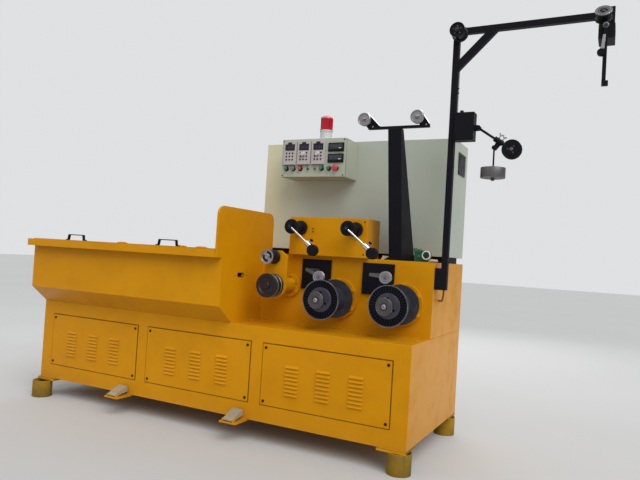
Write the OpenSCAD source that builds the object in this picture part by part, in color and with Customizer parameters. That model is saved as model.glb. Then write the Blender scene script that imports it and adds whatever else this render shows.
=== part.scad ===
// Wet wire drawing machine with a water tank, a twin spool take-up and a jib.
// Millimetres, +Z up, floor at Z = 0. Inside place(), X = 0 is the right end of the
// base cabinet and Y = 0 is its front; +Y runs towards the back.

/* [Base cabinet] */
// Depth of the base cabinet
base_d = 870; // [840:5:1000]
// Height of the base cabinet without its feet
base_h = 476; // [440:2:560]
// Height of the feet
foot_h = 110; // [80:5:150]
// Outer diameter of a foot pipe
foot_pipe_d = 114; // [90:1:130]
// Wall of a foot pipe
foot_wall = 5; // [3:0.5:8]
// Thickness of the plate welded over each foot
foot_plate_t = 12; // [8:1:16]
// Side of the plate welded over each foot
foot_plate_w = 140; // [120:5:160]
// Axis of a right-hand foot from the cabinet's right end
foot_in = 42; // [36:1:60]
// Axis of a rear foot from the cabinet's back
foot_back = 60; // [58:1:80]
// Height of a front panel
panel_h = 306; // [280:2:330]
// Bottom edge of the front panels over the cabinet's bottom
panel_z = 89; // [60:1:110]
// Margin between the outer panels and the cabinet's ends
panel_inset = 87; // [70:1:110]
// Width of the post between two panels
post_w = 77; // [60:1:95]
// Thickness of a front panel
panel_t = 6; // [4:0.5:8]
// Depth of the recess that each panel sits in
panel_recess = 4; // [2:0.5:6]
// Gap all round a front panel
panel_gap = 4; // [2:0.5:6]
// Width of a louvre
louvre_w = 72; // [60:1:90]
// Height of a louvre's hood
louvre_h = 14; // [11:0.5:16]
// How far a louvre's hood stands out
louvre_out = 7; // [5:0.5:9]
// Distance from one louvre to the next in a column
louvre_pitch = 19.5; // [18:0.5:21]
// Lowest louvre over the panel's bottom
louvre_up = 64; // [50:1:80]

/* [Water tank] */
// Length of the tank, from the left end to the tall end plate's outer face
tank_l = 1408; // [1300:2:1500]
// Height of the tank's rim over the base cabinet
tank_h = 379; // [350:1:420]
// How far the tank's front wall overhangs the cabinet
tank_out = 108; // [80:2:140]
// Height of the sloping part of the tank's front over the cabinet
slope_h = 90; // [60:2:120]
// Wall of the tank
tank_wall = 6; // [4:0.5:10]
// How far the rim stands out from the front wall
rim_out = 52; // [30:1:70]
// Height of the rim's outer skirt
rim_h = 40; // [30:1:60]
// Thickness of the tall end plate
end_plate_t = 12; // [8:1:16]
// Top of the tall end plate over the rim
end_plate_up = 225; // [180:5:260]
// Rear edge of the tall end plate from the cabinet's front
end_plate_back = 378; // [340:2:400]
// Corner radius of the tall end plate
end_plate_r = 48; // [30:2:70]
// Height of the slot through which the wire leaves the tank
exit_h = 16; // [12:1:20]
// Length of that slot
exit_l = 50; // [40:1:64]
// Middle of that slot over the cabinet
exit_up = 252; // [240:1:262]
// Line on which the tank lids are hinged, from the cabinet's front
lid_back = 520; // [480:5:535]
// Thickness of a lid
lid_t = 4; // [3:0.5:6]
// Gap beside each lid
lid_gap = 8; // [6:1:12]
// Width of a lid's handle
handle_w = 160; // [130:2:190]
// Height of a lid's handle
handle_h = 34; // [28:1:45]

/* [Headstock] */
// Front face of the headstock from the cabinet's front
head_y = 285; // [270:1:300]
// Width of the tension box
tbox_w = 458; // [430:2:480]
// Depth of the tension box
tbox_d = 170; // [140:2:200]
// Height of the tension box
tbox_h = 205; // [180:1:230]
// How far the tension box overhangs the headstock's front
tbox_out = 40; // [30:1:50]
// Gap between the tension box and the column
tbox_gap = 101; // [80:1:120]

/* [Spools] */
// Height of the spool axes over the base cabinet
spool_up = 161; // [150:1:175]
// Right-hand spool axis from the right end
spool_x = 149; // [140:1:160]
// Distance between the spool axes
spool_pitch = 356; // [340:1:370]
// Flange diameter of a spool
spool_d = 200; // [180:2:210]
// Core diameter of a spool
core_d = 125; // [100:1:140]
// Length of a spool over its flanges
spool_l = 176; // [150:1:180]
// Thickness of a spool flange
flange_t = 11; // [8:0.5:14]
// Diameter of a spool spindle
spindle_d = 36; // [30:1:44]
// Diameter of the round nut on a spindle
nut_d = 82; // [74:1:90]
// How far the nut stands out from the spool
nut_l = 50; // [40:1:55]
// Thickness of the nut's rim
nut_rim = 14; // [10:1:18]
// Diameter of the nut's neck
nut_neck_d = 50; // [46:1:60]
// Diameter of a spindle housing
housing_d = 216; // [205:1:230]
// Thickness of a spindle housing
housing_t = 22; // [16:1:26]
// Number of radial ribs in a spool's front flange
rib_count = 36; // [24:1:40]
// Thickness of a rib
rib_t = 2.4; // [1.8:0.2:3]
// Width of the flat rim outside the ribs
spool_rim = 5; // [4:0.5:7]
// Depth of the ribbed ring in a spool's front flange
rib_depth = 6; // [4:0.5:7]

/* [Capstan and guides] */
// Height of the capstan axis over the base cabinet
capstan_up = 210; // [190:1:220]
// Capstan axis from the left-hand spool's axis
capstan_gap = 297; // [285:1:310]
// Capstan axis from the tall end plate
capstan_in = 190; // [178:1:205]
// Diameter of the capstan
capstan_d = 124; // [110:1:134]
// Length of the capstan
capstan_l = 70; // [60:1:76]
// Diameter of the guide roller
guide_d = 75; // [60:1:80]
// Height of the guide roller's axis over the capstan's axis
guide_up = 149; // [140:1:160]
// Front face of the capstan and the guide roller
capstan_y = 27; // [15:1:36]
// Front face of the capstan's bracket plate
bracket_y = 112; // [107:1:125]
// Thickness of the capstan's bracket plate
bracket_t = 12; // [10:1:18]
// Width of the capstan's bracket plate
bracket_w = 132; // [120:2:144]
// Diameter of the bearing flange behind that plate
bearing_d = 128; // [116:2:140]
// Diameter of the bearing tube
bearing_tube_d = 80; // [70:2:90]
// Diameter of a tension roller's flanges
troller_d = 78; // [70:1:86]
// Length of a tension roller
troller_l = 110; // [95:1:115]
// Length of a tension arm between its two axes
arm_l = 194; // [180:1:205]
// Diameter of the clamp sleeve on a tension arm
clamp_d = 30; // [24:1:34]
// Length of that clamp sleeve
clamp_l = 28; // [22:1:34]
// Slope of a tension arm below level at rest
arm_slope = 38; // [25:1:50]
// Diameter of a tension arm's end wheel
arm_wheel_d = 58; // [48:1:64]
// Height of the traverse shafts over the spool axes
traverse_up = 140; // [132:1:150]
// Traverse shaft from its spool's axis
traverse_x = 125; // [110:1:135]
// Length of a traverse arm between its two axes
traverse_arm = 80; // [70:1:90]
// Diameter of a traverse pulley
traverse_d = 60; // [50:1:66]
// Width of a traverse plate
tplate_w = 172; // [164:2:180]
// Height of a traverse plate
tplate_h = 162; // [150:1:175]
// Lower edge of a traverse plate over the cabinet
tplate_up = 196; // [185:1:205]
// Middle of a traverse plate from its spool's axis
tplate_x = 140; // [136:1:144]

/* [Column] */
// Width of the column
column_w = 70; // [60:1:80]
// Height of the column over the headstock
column_h = 655; // [600:5:700]
// Depth of the column at its foot
column_foot = 213; // [180:1:230]
// Depth of the column at its top
column_top = 40; // [30:1:60]
// How far the column's front edge leans forward
column_lean = 117; // [80:1:130]
// Left side of the column from the right end
column_x = 246; // [230:1:255]
// Length of the cross bar on the column
bar_l = 318; // [290:2:350]
// Left end of the cross bar from the column's middle
bar_out = 144; // [130:1:160]
// Diameter of a bar pulley
bar_pulley_d = 66; // [56:1:74]
// Width of a bar pulley
bar_pulley_w = 20; // [16:1:24]
// Left bar pulley from the column's middle
bar_pulley_left_x = 164; // [150:1:175]
// Right bar pulley from the column's middle
bar_pulley_right_x = 115; // [100:1:125]
// Bar pulley axes over the cross bar's underside
bar_pulley_up = 50; // [44:1:56]

/* [Mast and jib] */
// Side of the mast's square tube
mast_w = 30; // [26:1:40]
// Height of the jib's underside over the base cabinet
jib_up = 1516; // [1400:10:1600]
// Length of the jib from the mast
jib_l = 685; // [560:5:760]
// Width of the spacer between headstock and mast
spacer_w = 30; // [24:1:40]
// Height of the mast's foot over the base cabinet
mast_foot = 246; // [220:2:260]
// Height of the block that the mast's foot is bolted to
spacer_h = 107; // [90:1:120]
// Inner edge of the brace from the corner of mast and jib
brace_in = 130; // [110:1:150]
// Outer edge of the brace from that corner
brace_out = 182; // [165:1:200]
// Diameter of the roller at the mast's top
mast_wheel_d = 74; // [66:1:80]
// Length of the roller at the mast's top
mast_wheel_l = 70; // [60:1:76]
// Diameter of the tilted roller at the jib's head
head_wheel_d = 72; // [64:1:74]
// Length of the tilted roller
head_wheel_l = 45; // [38:1:48]
// Tilt of that roller's axis above level
head_tilt = 33; // [28:1:38]
// Width of the block at the jib's head
head_block_w = 66; // [58:1:76]
// Height of that block
head_block_h = 65; // [56:1:74]
// Height of the light plate that stands on the block
head_plate_h = 100; // [94:1:110]
// Length of the hanging arm under its pivot
head_arm_l = 266; // [240:2:290]
// Height of the dancer's axis over the base cabinet
dancer_up = 1046; // [1000:2:1080]
// Length of the dancer arm between its two axes
dancer_l = 201; // [185:1:215]
// Slope of the dancer arm below level at rest
dancer_slope = 34.5; // [25:0.5:40]
// Diameter of the dancer's pulley
dancer_pulley_d = 92; // [80:1:98]
// Diameter of the hanging weight
weight_d = 116; // [100:1:124]
// Height of the hanging weight
weight_h = 48; // [36:1:54]
// Length of the weight hanger from its pin to the weight's top
hanger_l = 98; // [90:1:120]
// Place of the hanger's lug along the dancer arm
hanger_at = 127; // [115:1:135]
// Drop of the hanger's pin under the dancer arm
hanger_drop = 37; // [32:1:44]

/* [Electrical cabinet] */
// Length of the electrical cabinet
cab_l = 1184; // [1100:4:1250]
// Height of the electrical cabinet
cab_h = 643; // [600:1:700]
// Height of the dark plinth under the electrical cabinet
plinth_h = 33; // [20:1:50]
// Front of the electrical cabinet from the base's front
cab_y = 572; // [560:1:590]
// Distance from the plinth's left end to the cabinet's left side
plinth_in = 20; // [10:1:40]
// Underside of the control box over the base cabinet
cbox_up = 826; // [800:2:850]
// Right side of the control box from the right end
cbox_x = 573; // [560:1:590]
// Width of the control box
cbox_w = 407; // [390:1:430]
// Depth of the control box
cbox_d = 170; // [150:1:180]
// Height of the control box
cbox_h = 219; // [205:1:240]
// Width of a keypad
keypad_w = 84; // [78:1:86]
// Height of a keypad
keypad_h = 138; // [128:1:144]
// Distance from one keypad to the next
keypad_pitch = 92; // [90:1:94]
// Width of a panel meter
meter_w = 96; // [90:1:98]
// Height of a panel meter
meter_h = 50; // [46:1:54]
// Diameter of a push button's ring
button_d = 28; // [24:1:30]
// Height of the row of buttons over the control box's bottom
button_up = 47; // [42:1:50]
// Width of the side vent
vent_w = 148; // [130:1:165]
// Height of the side vent
vent_h = 122; // [110:1:135]
// Lower edge of the side vent over the electrical cabinet's bottom
vent_up = 462; // [430:2:490]
// Diameter of the beacon
beacon_d = 76; // [68:1:86]
// Height of the beacon's base
beacon_base_h = 62; // [54:1:70]
// Height of the beacon's red dome
beacon_dome_h = 82; // [72:1:90]

/* [Pedals] */
// Middle of the right-hand pedal from the right end
pedal_x = 899; // [860:1:960]
// Distance between the pedals
pedal_pitch = 790; // [740:2:840]
// Width of a pedal's shelf plate
shelf_w = 98; // [90:1:110]
// How far the shelf stands out from the cabinet
shelf_out = 106; // [100:1:125]
// Width of a pedal
pedal_w = 58; // [46:1:66]
// Length of a pedal
pedal_l = 92; // [84:1:95]
// Height of a pedal at its rear
pedal_h = 50; // [42:1:56]

/* [Fits] */
// Radial clearance of a running fit
run_fit = 0.05; // [0.02:0.01:0.1]
// Axial gap beside a turning piece
end_gap = 0.5; // [0.3:0.1:1]
// Seat gap between two bodies
seat_gap = 0.3; // [0.2:0.05:0.4]

/* [Hidden] */
$fn = 64;
cut = 1;
base_z = foot_h;
deck_z = foot_h + base_h;
rim_z = deck_z + tank_h;
capstan_x = spool_x + spool_pitch + capstan_gap;
head_l = capstan_x + capstan_in;
base_l = tank_l + head_l;
panel_w = (base_l - 2 * panel_inset - 2 * post_w) / 3;
panel_pitch = panel_w + post_w;
head_over = 10;
jib_reach = spacer_w + mast_w + jib_l + head_over;
origin_x = (base_l - jib_reach) / 2;
origin_y = (tank_out + rim_out - base_d) / 2;

// Derived places of the axes, measured inside place()
hinge_r = 7;
hinge_pin_r = 4;
hinge_z = rim_z + hinge_r + 1;
strap_t = 5;
strap_w = 16;
exit_y = 67;
lid_w = (tank_l - end_plate_t - 3 * lid_gap) / 2;
lid_xs = [-base_l + lid_gap, -head_l - end_plate_t - lid_gap - lid_w];
deck_edge = lid_back - 12;
spool_z = deck_z + spool_up;
spool_xs = [-spool_x - spool_pitch, -spool_x];
spool_front = 60;
capstan_z = deck_z + capstan_up;
guide_z = capstan_z + guide_up;
guide_x = capstan_x + 7;
tbox_front = head_y - tbox_out;
tbox_x = column_x + tbox_gap;
troller_xs = [-tbox_x - tbox_w + 72, -tbox_x - 62];
troller_z = rim_z + 145;
troller_y = tbox_front - troller_l - 10;
pin_r = 8;
arm_y = troller_y - 12;
arm_wheel_w = 26;
traverse_xs = [spool_xs[0] - traverse_x, spool_xs[1] - traverse_x];
traverse_z = spool_z + traverse_up;
traverse_y = 134;
traverse_slopes = [22, 6];
traverse_stroke = 45;
shaft_r = 8;
plate_t = 12;
bar_y = 200;
bar_t = 12;
bar_z = rim_z + column_h;
column_mid = -column_x + column_w / 2;
bar_pulley_xs = [column_mid - bar_pulley_left_x, column_mid + bar_pulley_right_x];
bar_pulley_z = bar_z + bar_pulley_up;
bar_pulley_y = 181;
bar_pin_r = 6;
bracket_feet = [82, 60];
mast_x = spacer_w;
mast_y = 300;
mast_top = deck_z + jib_up + mast_w;
mast_plate_t = 7;
mast_wheel_x = mast_x + mast_w + 5;
mast_wheel_z = mast_top - 35;
mast_wheel_back = mast_y - mast_plate_t - 1;
lead_turn = 117;
lead_bend = 50;
head_x = jib_reach - head_block_w;
head_plate_t = 8;
head_front = mast_y - 75;
head_top = mast_top - 85;
head_wheel_x = head_x + 17;
head_wheel_y = mast_y - 33;
head_wheel_z = head_top + 36.7;
head_pin_r = 6;
head_arm_x = head_x + 30;
head_arm_y = head_front - 14;
head_arm_z = head_top - 13;
head_arm_w = 16;
dancer_z = deck_z + dancer_up;
dancer_box_w = 95;
dancer_box_d = 60;
dancer_box_h = 137;
dancer_box_down = 62;
ear_w = 6;
ear_gap = 18;
ear_r = 12;
dancer_x = mast_x + mast_w + dancer_box_w + ear_r + 6;
dancer_y = mast_y - 15 + dancer_box_d / 2;
dancer_front = 22;
cab_z = rim_z + plinth_h;
cbox_z = deck_z + cbox_up;
cbox_y = cab_y - cbox_d;
beacon_x = -cbox_x - 169;
beacon_y = cbox_y + 85;
pedal_xs = [-pedal_x - pedal_pitch, -pedal_x];
pedal_y = -shelf_out + 11;
pedal_pin_up = 8;
shelf_t = 8;

module place() {
    translate([origin_x, origin_y, 0])
        children();
}

// A cylinder whose axis runs along +Y from y0 to y1 at (x, z)
module bar_along_y(x, z, y0, y1, r) {
    translate([x, y0, z])
        rotate([-90, 0, 0])
            cylinder(h = y1 - y0, r = r);
}

// A cylinder whose axis runs along +X from x0 to x1 at (y, z)
module bar_along_x(x0, x1, y, z, r) {
    translate([x0, y, z])
        rotate([0, 90, 0])
            cylinder(h = x1 - x0, r = r);
}

// A profile given as [radius, y] turned about an axis along Y at (x, z)
module turned_along_y(x, z, profile) {
    translate([x, 0, z])
        rotate([-90, 0, 0])
            rotate_extrude()
                polygon(profile);
}

// A profile in Y and Z drawn out along X from x0 to x1
module drawn_along_x(x0, x1, profile) {
    translate([x0, 0, 0])
        rotate([90, 0, 90])
            linear_extrude(height = x1 - x0)
                polygon(profile);
}

module base_cabinet() {
    place() color("gold")
        difference() {
            translate([-base_l, 0, base_z])
                cube([base_l, base_d, base_h]);
            for (i = [0:2])
                translate([
                    -panel_inset - i * panel_pitch - panel_w - panel_gap, -cut, base_z + panel_z - panel_gap
                ])
                    cube([panel_w + 2 * panel_gap, panel_recess + cut, panel_h + 2 * panel_gap]);
        }
}

// One pressed louvre with its middle at x and its lower edge at z on a panel's face
module louvre(x, z) {
    drawn_along_x(x - louvre_w / 2, x + louvre_w / 2, [
        [0.5, z], [-louvre_out, z + 1.5], [-louvre_out, z + 3], [0.5, z + louvre_h]
    ]);
}

// The air slot behind a louvre's hood, open towards the floor
module louvre_slot(x, z) {
    drawn_along_x(x - louvre_w / 2 + 3, x + louvre_w / 2 - 3, [
        [4, z + 1], [4, z + louvre_h - 5], [0, z + louvre_h - 3], [-louvre_out + 1.2, z + 2.5],
        [-louvre_out + 1.2, z - cut], [0, z - cut], [0, z + 1]
    ]);
}

// One front panel with three columns of louvres, its lower right corner at the origin
module louvred_panel() {
    difference() {
        union() {
            translate([-panel_w, 0, 0])
                cube([panel_w, panel_t, panel_h]);
            for (column = [1:3])
                for (row = [0:7])
                    louvre(-column * panel_w / 4, louvre_up + row * louvre_pitch);
        }
        for (column = [1:3])
            for (row = [0:7])
                louvre_slot(-column * panel_w / 4, louvre_up + row * louvre_pitch);
    }
}

module front_panels() {
    place() color("gold")
        for (i = [0:2])
            translate([-panel_inset - i * panel_pitch, panel_recess - panel_t, base_z + panel_z])
                louvred_panel();
}

module foot(x, y) {
    difference() {
        translate([x, y, 0])
            cylinder(h = foot_h - foot_plate_t, d = foot_pipe_d);
        translate([x, y, -cut])
            cylinder(h = foot_h - foot_plate_t + 2 * cut, d = foot_pipe_d - 2 * foot_wall);
    }
}

module feet_and_shelves() {
    place() color("olive") {
        for (p = [
            [-base_l + foot_pipe_d / 2, -27], [-foot_in, 33],
            [-base_l + foot_pipe_d / 2, base_d - foot_back], [-foot_in, base_d - foot_back]
        ])
            foot(p[0], p[1]);
        for (p = [
            [-base_l, -20], [-foot_plate_w, -12],
            [-base_l, base_d - foot_plate_w], [-foot_plate_w, base_d - foot_plate_w]
        ])
            translate([p[0], p[1], foot_h - foot_plate_t])
                cube([foot_plate_w, foot_plate_w, foot_plate_t]);
        for (x = pedal_xs) {
            translate([x - shelf_w / 2, -shelf_out, foot_h - shelf_t])
                cube([shelf_w, shelf_out + 90, shelf_t]);
            for (side = [-1, 1])
                translate([x + side * (pedal_w / 2 + end_gap + 3) - 3, pedal_y - 7, foot_h - 1])
                    cube([6, 14, pedal_pin_up + 7]);
            bar_along_x(x - pedal_w / 2 - end_gap - 1, x + pedal_w / 2 + end_gap + 1, pedal_y, foot_h + pedal_pin_up, 3);
        }
    }
}

module tank_trough() {
    place() color("gold")
        difference() {
            union() {
                drawn_along_x(-base_l + tank_wall, -head_l - end_plate_t, [
                    [0, deck_z], [base_d, deck_z], [base_d, rim_z], [-tank_out, rim_z],
                    [-tank_out, deck_z + slope_h]
                ]);
                translate([-base_l + tank_wall, -tank_out - rim_out, rim_z - rim_h])
                    cube([tank_l - tank_wall - end_plate_t, rim_out, rim_h]);
            }
            drawn_along_x(-base_l, -head_l, [
                [tank_wall / 2, deck_z + tank_wall], [base_d - tank_wall, deck_z + tank_wall],
                [base_d - tank_wall, rim_z - tank_wall], [deck_edge, rim_z - tank_wall],
                [deck_edge, rim_z + cut], [-tank_out + tank_wall, rim_z + cut],
                [-tank_out + tank_wall, deck_z + slope_h + tank_wall / 2]
            ]);
            drawn_along_x(-base_l, -head_l, [
                [-tank_out - rim_out + tank_wall, rim_z - rim_h - cut], [-tank_out, rim_z - rim_h - cut],
                [-tank_out, rim_z - tank_wall], [-tank_out - rim_out + tank_wall, rim_z - tank_wall]
            ]);
        }
    place() color("gold")
        for (x = lid_xs)
            for (at = [80, lid_w - 80]) {
                bar_along_x(x + at - 45, x + at + 45, lid_back, hinge_z, hinge_pin_r);
                for (side = [-1, 1])
                    translate([x + at + side * (25 + end_gap + 9) - 9, lid_back - 5, rim_z])
                        cube([18, 10, hinge_r + 3]);
            }
}

module tank_left_end() {
    place() color("gold")
        drawn_along_x(-base_l, -base_l + tank_wall, [
            [0, deck_z], [base_d, deck_z], [base_d, rim_z], [-tank_out - rim_out, rim_z],
            [-tank_out - rim_out, rim_z - rim_h], [-tank_out, rim_z - rim_h], [-tank_out, deck_z + slope_h]
        ]);
}

module tank_end_plate() {
    top = rim_z + end_plate_up;
    front = -tank_out - rim_out + 6;
    place() color("gold")
        difference() {
            union() {
                drawn_along_x(-head_l - end_plate_t, -head_l, [
                    [0, deck_z], [base_d, deck_z], [base_d, rim_z], [end_plate_back, rim_z],
                    [end_plate_back, top - end_plate_r],
                    [end_plate_back - end_plate_r, top], [front + end_plate_r, top], [front, top - end_plate_r],
                    [front, rim_z - rim_h], [-tank_out, rim_z - rim_h], [-tank_out, deck_z + slope_h]
                ]);
                for (y = [front + end_plate_r, end_plate_back - end_plate_r])
                    translate([-head_l - end_plate_t, y, top - end_plate_r])
                        rotate([0, 90, 0])
                            cylinder(h = end_plate_t, r = end_plate_r);
            }
            for (side = [-1, 1])
                bar_along_x(-head_l - end_plate_t - cut, -head_l + cut, exit_y + side * (exit_l - exit_h) / 2,
                    deck_z + exit_up, exit_h / 2);
            translate([-head_l - end_plate_t - cut, exit_y - (exit_l - exit_h) / 2, deck_z + exit_up - exit_h / 2])
                cube([end_plate_t + 2 * cut, exit_l - exit_h, exit_h]);
        }
}

module lid(x) {
    place() color("gold") {
        translate([x, -tank_out - 18, rim_z + seat_gap])
            cube([lid_w, lid_back + tank_out + 18 - hinge_r - 2, lid_t]);
        for (at = [80, lid_w - 80])
            difference() {
                union() {
                    bar_along_x(x + at - 25, x + at + 25, lid_back, hinge_z, hinge_r);
                    translate([x + at - 25, lid_back - hinge_r - 12, rim_z + seat_gap])
                        cube([50, 12 + hinge_r - 2, lid_t]);
                }
                bar_along_x(x + at - 26, x + at + 26, lid_back, hinge_z, hinge_pin_r + run_fit);
            }
        translate([x + lid_w / 2, -tank_out + 3, rim_z + seat_gap + lid_t])
            strap_handle();
    }
}

// A handle bent from flat strap, standing on the origin
module strap_handle() {
    half = handle_w / 2;
    translate([0, strap_w / 2, 0])
        rotate([90, 0, 0])
            linear_extrude(height = strap_w)
                polygon([
                    [-half, -0.5], [-half, strap_t], [-half + 14, strap_t], [-half + 20, handle_h],
                    [half - 20, handle_h], [half - 14, strap_t], [half, strap_t], [half, -0.5],
                    [half - 19, -0.5], [half - 25, handle_h - strap_t], [-half + 25, handle_h - strap_t],
                    [-half + 19, -0.5]
                ]);
}

module tank_lid_left() {
    lid(lid_xs[0]);
}

module tank_lid_right() {
    lid(lid_xs[1]);
}

module headstock() {
    place() color("goldenrod")
        difference() {
            translate([-head_l, head_y, deck_z])
                cube([head_l, base_d - head_y, tank_h]);
            for (x = spool_xs)
                bar_along_y(x, spool_z, head_y - cut, head_y + 90, spindle_d / 2 + run_fit);
            for (x = traverse_xs)
                bar_along_y(x, traverse_z, head_y - cut, head_y + 130, shaft_r + 2);
            bar_along_y(-capstan_x, capstan_z, head_y - cut, head_y + 30, 15 + run_fit);
        }
}

module capstan_bracket() {
    half = bracket_w / 2;
    top = guide_z + guide_d / 2 - 3;
    place() color("gold")
        difference() {
            union() {
                translate([-capstan_x, bracket_y + bracket_t, 0])
                    rotate([90, 0, 0])
                        linear_extrude(height = bracket_t)
                            polygon([
                                [-half, capstan_z], [half, capstan_z], [half, top - 29], [half - 38, top],
                                [-half + 20, top], [-half, top - 20]
                            ]);
                bar_along_y(-capstan_x, capstan_z, bracket_y, bracket_y + bracket_t, half);
            }
            bar_along_y(-capstan_x, capstan_z, bracket_y - cut, bracket_y + bracket_t + cut, 15 + run_fit);
        }
}

module spindle_housings() {
    place() color("gold") {
        for (x = spool_xs)
            difference() {
                bar_along_y(x, spool_z, head_y - housing_t, head_y, housing_d / 2);
                bar_along_y(x, spool_z, head_y - housing_t - cut, head_y + cut, spindle_d / 2 + run_fit);
            }
        difference() {
            union() {
                bar_along_y(-capstan_x, capstan_z, head_y - 18, head_y, bearing_d / 2);
                bar_along_y(-capstan_x, capstan_z, bracket_y + bracket_t, head_y - 17, bearing_tube_d / 2);
            }
            bar_along_y(-capstan_x, capstan_z, bracket_y, head_y + cut, 15 + run_fit);
        }
    }
}

module traverse_plates() {
    place() color("black")
        for (i = [0, 1])
            difference() {
                translate([spool_xs[i] - tplate_x - tplate_w / 2, head_y - plate_t, deck_z + tplate_up])
                    cube([tplate_w, plate_t, tplate_h]);
                bar_along_y(spool_xs[i], spool_z, head_y - plate_t - cut, head_y + cut, housing_d / 2 + 1);
                bar_along_y(traverse_xs[i], traverse_z, head_y - plate_t - cut, head_y + cut, shaft_r + run_fit);
            }
}

module tension_box() {
    place() color("gold")
        translate([-tbox_x - tbox_w, tbox_front, rim_z])
            cube([tbox_w, tbox_d, tbox_h]);
}

module column() {
    place() color("black")
        drawn_along_x(-column_x, -column_x + column_w, [
            [mast_y, rim_z], [mast_y + column_foot, rim_z],
            [mast_y - column_lean + column_top, bar_z], [mast_y - column_lean, bar_z]
        ]);
}

module cross_bar() {
    place() color("black") {
        translate([column_mid - bar_out, bar_y - 10, bar_z])
            cube([bar_l, 20, bar_t]);
        for (i = [0, 1])
            translate([bar_pulley_xs[i], bar_y + 4, bar_pulley_z])
                rotate([90, 0, 0])
                    linear_extrude(height = 8)
                        polygon([
                            [22, -bar_pulley_up], [bracket_feet[i], -bar_pulley_up], [bracket_feet[i], -34],
                            [15, 33], [-12, 14], [-12, -12]
                        ]);
    }
}

module mast() {
    place() color("black") {
        translate([mast_x, mast_y, deck_z + mast_foot])
            cube([mast_w, mast_w, mast_top - deck_z - mast_foot]);
        translate([0, mast_y - 2, deck_z + mast_foot])
            cube([mast_x, mast_w + 8, spacer_h]);
        translate([mast_x + 4, mast_y, mast_wheel_z])
            rotate([90, 0, 0])
                linear_extrude(height = mast_plate_t)
                    polygon([[0, -31], [40, -31], [62, -9], [62, 33], [0, 33]]);
    }
}

module jib() {
    x0 = mast_x + mast_w;
    z1 = mast_top - mast_w;
    place() color("black")
        translate([x0, mast_y + mast_w, z1])
            rotate([90, 0, 0])
                linear_extrude(height = mast_w)
                    polygon([
                        [0, 0], [0, mast_w], [jib_l, mast_w], [jib_l, 0], [brace_out, 0], [0, -brace_out],
                        [0, -brace_in], [brace_in, 0]
                    ]);
}

module jib_head() {
    place() color("dimgray") {
        translate([head_x, head_front, head_top - head_block_h])
            cube([head_block_w, mast_y + mast_w - head_front, head_block_h]);
        translate([head_x + 1, mast_y - head_plate_t, head_top])
            cube([head_block_w - 5, head_plate_t, head_plate_h]);
    }
}

module dancer_box() {
    right = mast_x + mast_w + dancer_box_w;
    place() color("black") {
        translate([mast_x + mast_w, mast_y - 15, dancer_z - dancer_box_down])
            cube([dancer_box_w, dancer_box_d, dancer_box_h]);
        translate([mast_x + mast_w + 28, mast_y + 12, dancer_z - dancer_box_down + dancer_box_h])
            cylinder(h = 14, r = 9);
        for (y = [dancer_y - ear_gap / 2 - ear_w, dancer_y + ear_gap / 2]) {
            translate([right - 1, y, dancer_z - ear_r])
                cube([dancer_x - right + 1, ear_w, 2 * ear_r]);
            bar_along_y(dancer_x, dancer_z, y, y + ear_w, ear_r);
        }
    }
}

// The frame in which the tilted roller stands on the XY plane, its axis towards the front
module head_roller_frame() {
    translate([head_wheel_x, head_wheel_y, head_wheel_z])
        rotate([90 - head_tilt, 0, 0])
            children();
}

module fixed_pins() {
    place() color("silver") {
        for (x = troller_xs)
            bar_along_y(x, troller_z, arm_y - 7, tbox_front, pin_r);
        bar_along_y(-guide_x, guide_z, capstan_y + 4, bracket_y, pin_r);
        bar_along_y(dancer_x, dancer_z, dancer_y - ear_gap / 2, dancer_y + ear_gap / 2, 5);
        for (x = bar_pulley_xs)
            bar_along_y(x, bar_pulley_z, bar_pulley_y - bar_pulley_w / 2 - 3, bar_y - 4, bar_pin_r);
        bar_along_y(mast_wheel_x, mast_wheel_z, mast_wheel_back - mast_wheel_l + 2, mast_y - mast_plate_t, pin_r);
        bar_along_y(head_arm_x, head_arm_z, head_arm_y - 4, head_front, 5);
        difference() {
            head_roller_frame()
                translate([0, 0, -36])
                    cylinder(h = 36 + head_wheel_l - 7, r = head_pin_r);
            translate([head_x, mast_y - head_plate_t, head_top])
                cube([head_block_w, 40, head_plate_h]);
        }
    }
}

module mast_leads() {
    low = dancer_z - dancer_box_down + dancer_box_h;
    place() color("lightgray")
        translate([mast_x + mast_w + 3.3, mast_y + 20, low])
            cylinder(h = mast_top - mast_w - brace_out - low, r = 3);
    place() color("sienna")
        difference() {
            translate([mast_x + mast_w / 2, mast_y + mast_w / 2, deck_z + mast_foot])
                rotate([0, 0, lead_turn]) {
                    translate([0, 0, -8])
                        cylinder(h = 8, r = 4.5);
                    translate([lead_bend, 0, -8])
                        rotate([90, 0, 0])
                            rotate([0, 0, 180])
                                rotate_extrude(angle = 90)
                                    translate([lead_bend, 0])
                                        circle(r = 4.5);
                    translate([lead_bend, 0, -8 - lead_bend])
                        rotate([0, 90, 0])
                            cylinder(h = (mast_x + mast_w / 2) / cos(180 - lead_turn) - lead_bend + 10, r = 4.5);
                }
            translate([-60, mast_y, deck_z])
                cube([60, 200, tank_h]);
        }
}

module electrical_cabinet() {
    place() color("darkseagreen")
        translate([-cab_l - 4, cab_y, cab_z])
            cube([cab_l, base_d - 2 - cab_y, cab_h]);
}

module cabinet_plinth() {
    place() color("black")
        translate([-cab_l - 4 + plinth_in, cab_y + 22, rim_z])
            cube([cab_l - plinth_in - 28, base_d - cab_y - 44, plinth_h]);
}

module side_vent() {
    place() color("black")
        translate([-4, cab_y + 84, cab_z + vent_up])
            cube([4, vent_w, vent_h]);
}

module control_box() {
    place() color("lightgray")
        translate([-cbox_x - cbox_w, cbox_y, cbox_z])
            cube([cbox_w, cbox_d, cbox_h]);
}

module keypads() {
    place() color("gray")
        for (i = [0:2])
            translate([-cbox_x - cbox_w + 14 + i * keypad_pitch, cbox_y - 10, cbox_z + 68])
                cube([keypad_w, 10, keypad_h]);
}

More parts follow.
